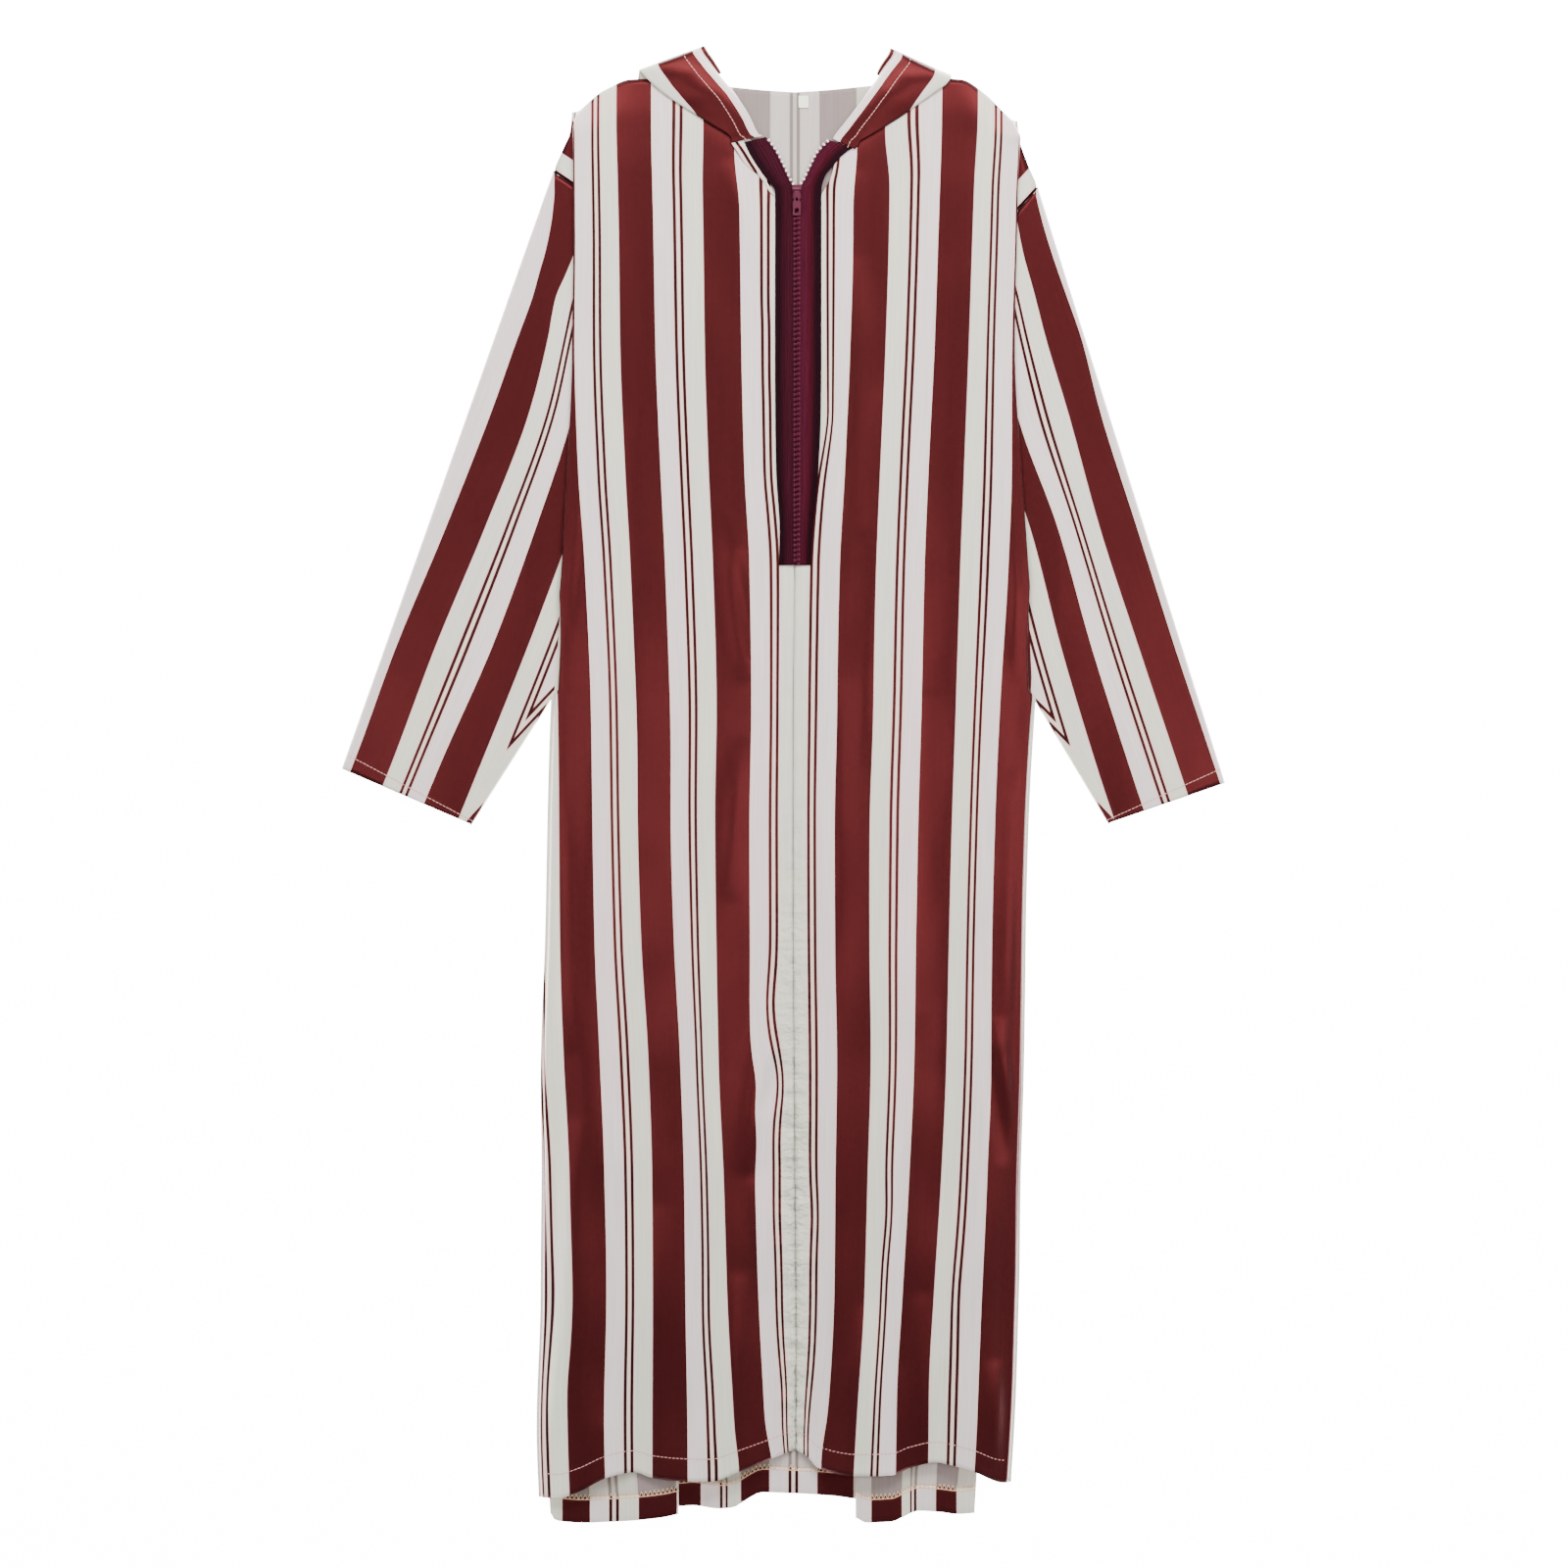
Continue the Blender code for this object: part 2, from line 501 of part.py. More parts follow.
def add_tape(collection, materials, side):
    tape_rows, tooth_rows = [], []
    for out_x, out_drop, in_x, in_drop in TAPE_ROWS[side]:
        height = front_height(TAPE_PLACE, (out_drop + in_drop) / 2) + TAPE_RISE
        row = []
        for i in range(TAPE_STEPS + 1):
            share = i / TAPE_STEPS
            row.append((in_x + (out_x - in_x) * share, in_drop + (out_drop - in_drop) * share, height))
        tape_rows.append(row)
        tooth_rows.append([(in_x - SEAM_GAP - TOOTH_WIDTH, in_drop, height),
                           (in_x - SEAM_GAP - TOOTH_WIDTH / 2, in_drop, height),
                           (in_x - SEAM_GAP, in_drop, height)])
    add_sheet(collection, materials["wine_tape"], "placket_" + SIDES[side], side, tape_rows)
    add_sheet(collection, materials["wine_resin"], "zip_teeth_" + SIDES[side], side, tooth_rows, TOOTH_THICK)


def box(name, size, centre):
    """Closed box in a mesh of its own, size and centre in millimetres of the robe's world."""
    mesh = bpy.data.meshes.new(name)
    shape = bmesh.new()
    bmesh.ops.create_cube(shape, size=1.0)
    for vertex in shape.verts:
        vertex.co = [(centre[i] + vertex.co[i] * size[i]) * MM for i in range(3)]
    shape.to_mesh(mesh)
    shape.free()
    return bpy.data.objects.new(name, mesh)


def rod(name, radius, length, centre, sides=16):
    """Closed cylinder along X."""
    mesh = bpy.data.meshes.new(name)
    shape = bmesh.new()
    bmesh.ops.create_cone(shape, cap_ends=True, segments=sides, radius1=radius, radius2=radius, depth=length)
    for vertex in shape.verts:
        x, y, z = vertex.co
        vertex.co = [(centre[0] + z) * MM, (centre[1] + y) * MM, (centre[2] - x) * MM]
    shape.to_mesh(mesh)
    shape.free()
    return bpy.data.objects.new(name, mesh)


def combine(target, tools, cutters, operation):
    for tool in tools:
        cutters.objects.link(tool)
        tool.hide_render = True
        tool.display_type = "WIRE"
        modifier = target.modifiers.new(tool.name, "BOOLEAN")
        modifier.operation = operation
        modifier.object = tool


def bevel(target, width, segments=2):
    modifier = target.modifiers.new("edges", "BEVEL")
    modifier.width = width * MM
    modifier.segments = segments
    modifier.limit_method = "ANGLE"


def add_slider(collection, cutters, materials):
    x = CENTRE_X + ZIP_X
    y = SHOULDER_Y - SLIDER_DROP
    width, length = SLIDER_SIZE
    upper_z = ZIP_Z + PLATE_GAP + PLATE / 2
    lower_z = ZIP_Z - PLATE_GAP - PLATE / 2
    slider = box("zip_slider", (width, length, PLATE), (x, y, upper_z))
    collection.objects.link(slider)
    slider.data.materials.append(materials["slider_paint"])
    lower = box("slider_lower", (width, length, PLATE), (x, y, lower_z))
    post = box("slider_post", (*POST, upper_z - lower_z), (x, y + length / 2 - POST_INSET, ZIP_Z))
    pin_y = SHOULDER_Y - PIN_DROP
    pin_z = ZIP_Z + PLATE_GAP + PLATE + PIN_RISE
    ear_z = ZIP_Z + PLATE_GAP + PLATE + EAR[2] / 2 - EAR_SINK
    ears = [box("slider_ear_" + SIDES[side], EAR, (x + side * EAR_SPACING / 2, pin_y, ear_z)) for side in SIDES]
    pin = rod("slider_pin", PIN_RADIUS, EAR_SPACING, (x, pin_y, pin_z), 12)
    combine(slider, [lower, post] + ears + [pin], cutters, "UNION")
    return pin_y, pin_z


def add_tab(collection, cutters, materials, pin_y, pin_z):
    """Pull tab, with its origin on the pin that it swings on."""
    narrow, length, thick = TAB_SIZE
    centre = (0.0, 0.0, 0.0)
    tab = rod("zip_tab", TAB_EYE, narrow, centre)
    collection.objects.link(tab)
    tab.data.materials.append(materials["slider_paint"])
    tab.location = ((CENTRE_X + ZIP_X) * MM, pin_y * MM, pin_z * MM)
    tab.rotation_euler = (math.radians(TAB_DROOP), 0.0, 0.0)
    neck_length, plate_length = length * TAB_NECK_SHARE, length * TAB_PLATE_SHARE
    neck = box("tab_neck", (TAB_NECK, neck_length, thick), (0.0, -neck_length / 2, 0.0))
    plate = box("tab_plate", (TAB_WIDE, plate_length, thick), (0.0, plate_length / 2 - length, 0.0))
    bevel(plate, TAB_BEVEL)
    hole = rod("tab_hole", TAB_HOLE, 2 * narrow, centre)
    for tool in (neck, plate, hole):
        tool.parent = tab
    combine(tab, [neck, plate], cutters, "UNION")
    combine(tab, [hole], cutters, "DIFFERENCE")


def add_label(collection, material):
    x, drop = LABEL_PLACE
    z = back_height(x, drop) + WALL / 2 + SEAM_GAP + LABEL[2] / 2
    label = box("neck_label", LABEL, (CENTRE_X + x, SHOULDER_Y - drop, z))
    collection.objects.link(label)
    label.data.materials.append(material)
    bevel(label, LABEL_BEVEL)


def main():
    clear_scene()
    robe = bpy.data.collections.new("hooded_robe")
    cutters = bpy.data.collections.new("joined_shapes")
    for collection in (robe, cutters):
        bpy.context.scene.collection.children.link(collection)
    materials = make_materials()
    cloth = materials["striped_satin"]
    add_back(robe, cloth)
    for side in SIDES:
        add_front(robe, cloth, side)
        add_sleeve(robe, cloth, side)
        add_hood(robe, cloth, side)
        add_tape(robe, materials, side)
    pin_y, pin_z = add_slider(robe, cutters, materials)
    add_tab(robe, cutters, materials, pin_y, pin_z)
    add_label(robe, materials["label_cloth"])


main()
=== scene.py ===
"""Looks of the hooded robe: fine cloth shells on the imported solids, the zip, its stitches, lights and camera.

Lengths are in millimetres and are scaled to metres when a mesh is made.
A place on the robe is given by its side (-1 left, +1 right), its distance x from the centre front line,
its drop below the top of the shoulders, and its height z above the surface that the robe lies on.
The tables and functions of the robe's form are those of the part's own source, with finer steps.
"""
import bisect
import math

import bpy
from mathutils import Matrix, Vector, noise

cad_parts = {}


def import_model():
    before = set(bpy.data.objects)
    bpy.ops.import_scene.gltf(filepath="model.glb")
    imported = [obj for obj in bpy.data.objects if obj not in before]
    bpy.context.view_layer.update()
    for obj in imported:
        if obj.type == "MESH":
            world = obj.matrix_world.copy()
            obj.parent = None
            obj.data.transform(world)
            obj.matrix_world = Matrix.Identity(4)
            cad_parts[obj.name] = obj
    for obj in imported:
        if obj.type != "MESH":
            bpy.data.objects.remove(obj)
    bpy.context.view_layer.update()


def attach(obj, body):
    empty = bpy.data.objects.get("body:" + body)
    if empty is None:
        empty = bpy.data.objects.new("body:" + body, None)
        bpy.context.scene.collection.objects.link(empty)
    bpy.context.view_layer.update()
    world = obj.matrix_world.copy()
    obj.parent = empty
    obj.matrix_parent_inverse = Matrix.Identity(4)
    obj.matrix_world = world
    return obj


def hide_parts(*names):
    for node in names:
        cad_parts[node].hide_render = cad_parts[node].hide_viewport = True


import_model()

MM = 0.001
LEFT, RIGHT = -1, 1
SIDES = {LEFT: "left", RIGHT: "right"}

# Sizes of the solids
WALL = 1.2
SEAM_GAP = 0.3
CENTRE_X = 10.5
SHOULDER_Y = 653.35
FLOOR_LAYER = WALL / 2
ARMHOLE_Z = 3.4
SEAM_Z = FLOOR_LAYER + WALL + SEAM_GAP
TUCK_RADIUS = 1.3
MIN_BEND = 3.0
RED_MIDDLES = (58.3, 137.5, 216.7)
CLOTH_END = 280.0

# Sizes of the finer pieces
SHELL = 0.8                 # thickness of the cloth shells
BEND_STEPS = 6
STEP_DOWN = 4.5             # between the rows of a panel
STEP_ACROSS = 3.0           # between the points of a row

# Stripes: they repeat from the start of a red one
PERIOD = 79.2
RED_START = 41.4            # first red, along the cloth from the centre seam
RED_WIDTH = 33.75
PAIR_MIDDLE = (RED_WIDTH + PERIOD) / 2
PAIR_HALF = 3.1             # from the middle of the pair to the middle of a line
LINE = 2.9
OUTLINE = 0.9
HALO = 1.3
EDGE_BLUR = 0.3

FRONT_COLUMNS = ("drop", "edge", "first", "second", "third", "shown")
FRONT_ROWS = {
    LEFT: [
        (27, 30, 69, 148.5, 216, 201),
        (58, 27, 68.5, 148.5, 216, 202),
        (111, 9.5, 67.5, 147, 216, 202),
        (148, 9, 67, 146, 216, 202),
        (256, 8, 65.7, 144, 217.5, 202.5),
        (364, 6.3, 62.6, 139.5, 214.5, 211),
        (452, 0, 58.5, 135, 208, 223),
        (580, 1.5, 55.8, 130.5, 202, 241),
        (688, 1.7, 57.6, 129, 200.7, 246),
        (796, 1.5, 57, 125.5, 199.3, 249),
        (904, 0.7, 56, 119, 195.3, 256),
        (1012, 0, 51.3, 115.6, 190, 262),
        (1120, -1, 47.7, 114.7, 188.5, 265),
        (1228, -1, 41.8, 114.3, 191.2, 264),
        (1300, -1, 38.7, 114.3, 189.5, 264),
    ],
    RIGHT: [
        (27, 38, 69, 153, 219, 201),
        (58, 35, 68, 152.5, 219, 202),
        (111, 14, 70, 149.5, 217, 202),
        (148, 13.5, 69.7, 148, 216.5, 202),
        (256, 12, 66.6, 144, 214, 203),
        (364, 7, 62, 139, 215, 209.5),
        (452, 0, 58, 135.5, 212, 219),
        (580, -1.5, 54.9, 132.3, 203, 236.5),
        (688, -1.7, 52.2, 129, 198, 236),
        (796, -1.5, 52.6, 126.4, 195.3, 236),
        (904, -0.7, 54.4, 124.2, 194.4, 235),
        (1012, 0, 52.2, 119.2, 191.7, 234),
        (1120, 1, 50.4, 112.5, 187.6, 236),
        (1228, 1, 44.1, 107.5, 183.6, 236),
        (1300, 1, 39.6, 107, 179.1, 237),
    ],
}

SEAM_ROWS = {
    LEFT: [(27, 204.5), (50, 206.5), (72, 213.5), (91, 220.5), (104, 201.5), (148, 198), (202, 197),
           (256, 197), (310, 198), (364, 203), (418, 208.5), (472, 214), (526, 217.5), (567, 220.5)],
    RIGHT: [(27, 204.5), (62, 207), (87, 215), (106, 222), (128, 204), (160, 199.5), (202, 198.5),
            (256, 198.5), (310, 199), (364, 203), (418, 208.5), (472, 213.5), (526, 216), (569, 218)],
}
SHOULDER_END = 3
ARMHOLE_ROWS = 7            # the fold covers the rest of the seam
BODY_TOP, BODY_BOTTOM = 27.0, 1285.0
ZIP_END = 452.0

TUCK_COLUMNS = ("drop", "turn", "depth")
FRONT_TUCK = [(27, 80, 1), (50, 150, 6), (72, 180, 12), (91, 180, 18), (202, 180, 20), (310, 180, 18),
              (364, 175, 14), (418, 160, 9), (472, 130, 5), (526, 90, 3), (580, 72, 2), (1300, 72, 2)]
OUTER_EDGE = [(27, SEAM_Z), (50, ARMHOLE_Z), (567, ARMHOLE_Z), (640, SEAM_Z), (1300, SEAM_Z)]
FLUTE_PLACES = (0.0, 0.38, 0.66, 0.86)
FLUTE_COLUMNS = ("drop", "centre", "inner_ridge", "valley", "outer_ridge")
FRONT_FLUTES = [(27, 5.9, 5.9, 5.9, 3.8), (60, 7.4, 7.6, 7.4, 8), (200, 7.2, 8.6, 7.4, 8.8),
                (364, 6.6, 9.6, 6.6, 9.6), (452, 5, 10.4, 6, 10), (640, 3.6, 12.5, 5.6, 10.5),
                (904, 3.2, 16, 6.4, 12.5), (1100, 3.2, 18.5, 9.6, 14.5), (1300, 3.4, 21, 10, 16)]

FRONT_TOP = [(0, 66), (35, 64), (55, 50), (75, 34), (100, 12), (140, 6), (152, 6.5), (175, 16), (201, 27),
             (260, 27)]
BACK_TOP = [(0, 18), (30, 16), (60, 13), (100, 9), (140, 6), (152, 6.5), (175, 16), (201, 27), (260, 27)]
FRONT_HEM = {
    LEFT: [(0, 1263), (20, 1270), (53, 1282), (77, 1290), (103, 1290), (130, 1288), (147, 1283),
           (170, 1287), (200, 1301), (218, 1307), (240, 1306)],
    RIGHT: [(0, 1263), (10, 1268), (22, 1279), (55, 1285), (88, 1285), (105, 1279), (129, 1274),
            (147, 1277), (164, 1282), (192, 1293), (210, 1293)],
}
BACK_HEM = {
    LEFT: [(0, 1303), (30, 1302), (45, 1309), (57, 1316), (70, 1317), (93, 1314), (106, 1315), (108, 1321),
           (136, 1326), (159, 1328), (192, 1330), (219, 1328), (226, 1318)],
    RIGHT: [(0, 1303), (19, 1304), (54, 1308), (57, 1324), (66, 1329), (89, 1328), (99, 1324), (113, 1319),
            (132, 1320), (150, 1322), (164, 1321)],
}
TOP_FADE = 230.0
# Rounded upper corners: where each begins, its reach and how far it falls
CORNERS = {LEFT: (172.0, 32.0, 14.0), RIGHT: (152.0, 52.0, 21.0)}
CORNER_FADE = 46.0
HEM_START = 1100.0
BACK_SIDE = {
    LEFT: [(567, 220.5), (700, 222.5), (796, 225), (904, 228), (1012, 231), (1120, 231), (1240, 228),
           (1320, 222)],
    RIGHT: [(569, 218), (700, 212.5), (796, 210), (850, 208), (1012, 198), (1120, 187), (1240, 169),
            (1320, 163)],
}
BACK_TUCK_X = {LEFT: 107.0, RIGHT: 56.0}
BACK_TUCK = {
    LEFT: [(0, 0, 3), (1048, 0, 3), (1120, 50, 1), (1180, 110, 1), (1240, 180, 16), (1320, 180, 29)],
    RIGHT: [(0, 0, 3), (1048, 0, 3), (1120, 45, 1), (1180, 100, 1), (1240, 180, 9), (1320, 180, 16)],
}
TUCK_CLEAR = 2.0
TUCK_ROOM = 16.0
TUCK_FADE = 34.0
BACK_BOTTOM = 1290.0

CUFF = {LEFT: ((414.5, 639.0), (298.0, 689.0)), RIGHT: ((393.5, 652.0), (289.0, 688.0))}
SLEEVE_BULGE = 2.4
SLEEVE_LENGTH = 590.0       # along the sleeve, between its first and last row
SLEEVE_STEP = 4.5
CUFF_STITCH = 14.4          # from the cuff's edge
BULGE_START = 0.3
OUTER_ROUND = (1.2, -0.5)
UNDER_ROUND = (-0.65, 1.2)

# Hood: its rows on the shoulders; the folded part under the back keeps its CAD form
HOOD_ROWS = [
    (38, 57.5, 49, 62, 9.4, 0.3),
    (50, 38, 68, 53, 9.4, 2),
    (60, 21, 92, 38.5, 9.4, 4.5),
    (68, 7, 110, 27, 9.5, 6),
    (77, -6, 126, 15, 9.5, 6),
    (85, -16.5, 138, 3.5, 9.6, 4),
    (87, -20.5, 141, -0.5, 9, 2.4),
    (87.5, -22.5, 142.5, -2.5, 6, 0.6),
    (88, -20.5, 143, -1.5, 2.6, 0),
    (86, -13, 144, 7, 1.6, 0),
    (72, 10, 145, 30, 1.6, 0),
    (40, 30, 146, 70, 1.6, 0),
    (0.15, 50, 144, 120, 1.6, 0),
    (0.15, 110, 134, 180, 1.6, 0),
    (0.15, 175, 110, 235, 1.6, 0),
    (0.15, 235, 72, 275, 1.6, 0),
    (0.15, 285, 22, 296, 1.6, 0),
]
HOOD_FOLDED = 9
HOOD_THICK = 3.2
HOOD_LIFT = 0.2
HOOD_ROUNDING = 0.8
# End at the zip, and how far each row lies from the mean of both halves, for its front and its outer edge
HOOD_ENDS = {LEFT: (29.8, 58.6, 58.5, 65.0), RIGHT: (35.0, 61.4, 55.0, 71.0)}
HOOD_LIE = {
    LEFT: [(-1, 0, 0, 0, 0), (0, -5.5, 0, 9.5, -1.2), (1, -7, 0, 0, 0), (2, -6, 0, 0, 0), (3, -2, 0, 0, 0),
           (4, 0, 0, 0, 0), (16, 0, 0, 0, 0)],
    RIGHT: [(-1, 0, 0, 0, 0), (0, -1, 0, 10, 3.5), (1, 2.5, 0, 0, 6), (2, 5, 0, 0, 6), (3, 6.5, 1, 0, 5),
            (4, 6.5, 1.5, 0, 5.5), (5, 6, 2, 1, 7.5), (6, 5, 2, 1, 7.5), (7, 4, 2, 1, 6), (8, 2, 1, 0, 3),
            (9, 0, 0, 0, 0), (16, 0, 0, 0, 0)],
}
HOOD_WIDTH, HOOD_BOTTOM, HOOD_TOP_STRAIGHT = 146.0, 297.0, 110.0
HOOD_CLEARANCE = 34.0
HOOD_MARGIN = 1.04
HOOD_FADE = 26.0
HOOD_WHITE = 7.0            # white strip along the front edge, before the red
HOOD_STITCH = 15.5          # from the front edge to the topstitch
HOOD_STITCHED = 7.0         # the topstitch ends at this row, past the top of the shoulder
HOOD_PEEK = (3.3, 7.1)      # rows where the hem's other layer shows
HOOD_HEM = 5.0

TAPE_ROWS = {
    LEFT: [(46.5, 64.5, 28, 60), (41, 76, 18.5, 73), (33.5, 88, 12, 86), (25, 99, 6.5, 98),
           (18, 111, 1.5, 110), (18, 150, 1.5, 150), (18, 200, 1.5, 200), (18, 256, 1.5, 256),
           (17.8, 310, 1.5, 310), (17, 364, 1.5, 364), (13.8, 418, 1.5, 418), (14.4, 452, 1.5, 452)],
    RIGHT: [(54, 69, 33, 63), (44, 76, 23, 73), (35, 86, 16, 86), (27, 97, 10.5, 98), (24.3, 111, 5.1, 110),
            (24.3, 150, 5.1, 150), (24.3, 200, 5.1, 200), (24.3, 256, 5.1, 256), (23.8, 310, 5.1, 310),
            (21.6, 364, 5.1, 364), (16.4, 418, 5.1, 418), (14.4, 452, 5.1, 452)],
}
# Left front's edge, turned back beside the tape: its inner edge, its outer edge and where its line lies
TURNED_ROWS = [
    (47, 63, 59, 65.2, 6.6), (41.6, 72.5, 51.7, 75.8, 5.3), (36, 81.5, 45.4, 84.6, 5.4),
    (32, 89.5, 37.8, 91, 4.4), (28.4, 96.5, 31.6, 96.4, 5.6), (23.2, 105, 26.2, 104.8, 6),
    (18.4, 113, 20.8, 113, 6),
]
TAPE_RISE = WALL + SEAM_GAP
TAPE_PLACE = 0.06
TURNED_ROUND = 0.5

# Sleeves: where the two red stripes begin and end, as distances from the centre front line
SLEEVE_COLUMNS = ("drop", "a_start", "a_end", "b_start", "b_end")
SLEEVE_STRIPES = {
    LEFT: [(112, 220.5, 196, 150, 120), (136, 223.2, 199, 158, 128), (163, 228.6, 202, 164, 134),
           (182, 234, 209, 172, 142), (207, 241, 219.6, 180, 150), (244, 254.5, 226.5, 190, 160),
           (310, 278, 243, 203, 171), (418, 320.4, 284.4, 237.6, 205), (526, 365.4, 329.4, 277.2, 244.8),
           (634, 405, 369.9, 324.9, 288), (700, 432, 397, 352, 315)],
    RIGHT: [(112, 221, 200, 160, 132), (136, 227, 204, 166, 138), (163, 235, 209, 172, 144),
            (202, 248.4, 219.6, 182, 156), (244, 263, 230.4, 190, 164), (310, 279.9, 250.2, 203, 178),
            (418, 314.1, 279.9, 241.2, 216), (526, 348.3, 315, 271.8, 243.9), (634, 384.3, 351, 306, 276.3),
            (700, 406, 373, 328, 298)],
}
# Past the fold a white band and a red corner of the front lie on the shoulder, above the armhole's line
SHOULDER_BAND = {LEFT: ((220.5, 91.5), (201.0, 104.5)), RIGHT: ((222.5, 107.0), (203.0, 128.0))}
SHOULDER_BAND_WIDTH = 18.7
SHOULDER_BAND_START = -12.0
UNDERARM_SEAM = {LEFT: 8.0, RIGHT: 5.0}   # how far the underarm seam has rolled to the front
SLEEVE_WHITE = 16.5         # the sleeve's outer fold lies in the white before its first red

# Back's hem: distance along the cloth from the middle of the back over x, on either side of the tuck
HEM_STRIPES = {
    LEFT: ([(0, -1.35), (23.4, 22.7), (49.5, 56.5), (64.8, 79.2), (86.4, 101.9), (107, 123.5)],
           [(108, 181.1), (143.1, 214.9), (165.6, 237.6), (188.1, 260.3), (213.3, 294), (231, 312)]),
    RIGHT: ([(0, 1.35), (20.7, 22.7), (54, 56.5), (56, 58.5)],
            [(56.7, 85.6), (70.2, 101.9), (98.1, 135.7), (108, 158.4), (129.6, 181.1), (148.5, 214.9),
             (163, 231)]),
}
STRIPE_SHIFT_START = 1080.0
# Middle of the pair of lines beside the zip, where the neck is cut across the stripes: drop and place
PAIR_PLACES = {
    LEFT: [(60, 27.5), (202, 27.4), (238, 26.6), (274, 26.4), (310, 25.7), (346, 25.2)],
    RIGHT: [(60, 38.6), (81, 37.3), (92, 35.5), (103, 33.3), (113, 32.9), (310, 32.7), (346, 29.4),
            (400, 23)],
}
PAIR_GRAIN = RED_START + PAIR_MIDDLE - PERIOD
PAIR_FADE = (330.0, 400.0)

# Creases: from one place to another, how wide to each side and how high, in the front's x and drop
CREASES = {
    LEFT: [
        (62, 80, 30, 190, 9, 0.9), (120, 60, 105, 250, 15, 0.8), (178, 60, 150, 330, 16, 0.9),
        (196, 330, 214, 520, 9, 1.2), (188, 420, 176, 640, 13, 1), (60, 400, 42, 560, 12, 1.6),
        (54, 440, 40, 535, 7, -1.5), (48, 610, 60, 760, 11, 1.2), (20, 850, 46, 1010, 10, 1.5),
        (14, 900, 30, 960, 8, -1.1), (34, 1010, 22, 1120, 9, 1.3), (96, 760, 108, 980, 16, 0.4),
        (150, 560, 158, 900, 18, -1), (214, 640, 205, 900, 10, 1.3), (200, 960, 216, 1230, 11, 1.5),
        (170, 1000, 176, 1240, 12, -1.3), (128, 1040, 138, 1270, 13, 1.3), (84, 1060, 80, 1260, 12, -1.5),
        (52, 1100, 60, 1270, 10, 1.6), (222, 1120, 230, 1290, 7, 1.4), (104, 330, 118, 560, 16, -0.8),
    ],
    RIGHT: [
        (58, 90, 44, 230, 10, 1), (52, 170, 54, 440, 18, 1.6), (100, 70, 86, 300, 14, 0.9),
        (166, 60, 160, 330, 16, 0.9), (200, 340, 208, 560, 10, 1.4), (174, 420, 180, 620, 14, 1),
        (44, 330, 26, 470, 9, 1.4), (70, 420, 58, 640, 14, 1.1), (118, 520, 112, 860, 17, -0.9),
        (26, 640, 34, 860, 9, 0.9), (204, 640, 196, 900, 11, 1.5), (184, 868, 205, 980, 8, 1.8),
        (178, 895, 194, 1000, 8, -1.3), (206, 1000, 196, 1200, 10, -1.2), (92, 900, 88, 1180, 15, 1.1),
        (150, 900, 146, 1200, 15, -1.1), (70, 1130, 60, 1270, 10, 1.7), (36, 1040, 22, 1230, 8, -1.2),
        (116, 1120, 120, 1270, 12, 1.4), (140, 1180, 128, 1275, 9, -1.3), (184, 1180, 190, 1285, 10, 1.5),
        (48, 560, 40, 700, 10, -0.8),
    ],
}
CREASE_STRENGTH = 1.9
# Where the stripes wander: distance along the cloth, drop, reach of each, and how far out they shift
SWAYS = {
    LEFT: [(20, 855, 14, 34, 3.7), (24, 927, 20, 30, -7), (40, 978, 12, 26, -3), (20, 1048, 10, 30, 1),
           (18, 1215, 13, 42, -4), (30, 1278, 26, 30, -8), (76, 1278, 16, 24, -2.5),
           (137, 620, 20, 60, -1.5), (216, 1010, 14, 60, 2), (243, 1120, 10, 40, -2.5),
           (243, 1205, 10, 34, 2.5), (100, 1150, 14, 50, 1.5)],
    RIGHT: [(19, 1048, 12, 30, 2), (19, 1250, 15, 52, -5.5), (40, 1275, 16, 34, -5.5),
            (98, 1048, 12, 34, 2.4), (137, 1180, 16, 40, -1.5), (177, 1120, 12, 46, -1.8),
            (216, 930, 14, 44, 2.4), (60, 620, 18, 60, 1.5)],
}
PUCKER_PITCH = 15.0
PUCKER_REACH = 13.0
PUCKER_HEIGHT = 2.4
PUCKER_FADE = (4.0, 20.0)       # to either side, along the cloth
PUCKER_DROPS = (600.0, 1000.0)
PUCKER_DEPTH = 6.0
PUCKER_GRAIN = (0.09, 0.14, 1.0)
SOFT_HEIGHT = 1.6           # gentle unevenness of the whole cloth
SOFT_SCALE = 0.011

# Finer points of the panels
GAP_FADE = 6.0              # along the cloth, where the fronts part at the centre seam
SEAM_DIP = (0.7, 2.2)       # depth and reach of the dip along the centre seam
COLUMNS_DROP = 600.0        # where a front's columns are counted
BACK_REACH = 230.0
BACK_STEP = 4.0
BAND = 23.0                 # turned-up hem of the back
BAND_LIFT = 1.0
SLEEVE_SHARES = ((0.0, 0.94, 0.011), (0.94, 1.0, 0.004))
UNDER_SHIFT = 24.0          # of the stripes on the sleeve's lower layer
RIBS = 7
RIB_HEIGHT = 0.35
CHAIN_START = 3.7           # row of the tape where the teeth close

# Stitches
STITCH_PITCH = 3.6
STITCH_WIDTH = 0.7
STITCH_SHARE = 0.78         # of its pitch
STITCH_SINK, STITCH_RISE = 0.12, 0.28
HEM_STITCH = 20.0           # from the front's hem
OVERLOCK_PITCH = 2.0
OVERLOCK_HALF = 2.4
OVERLOCK_THREAD = (0.55, 0.1, 0.4)      # width, sink and rise
OVERLOCK_EDGE = (0.7, 0.1, 0.45)

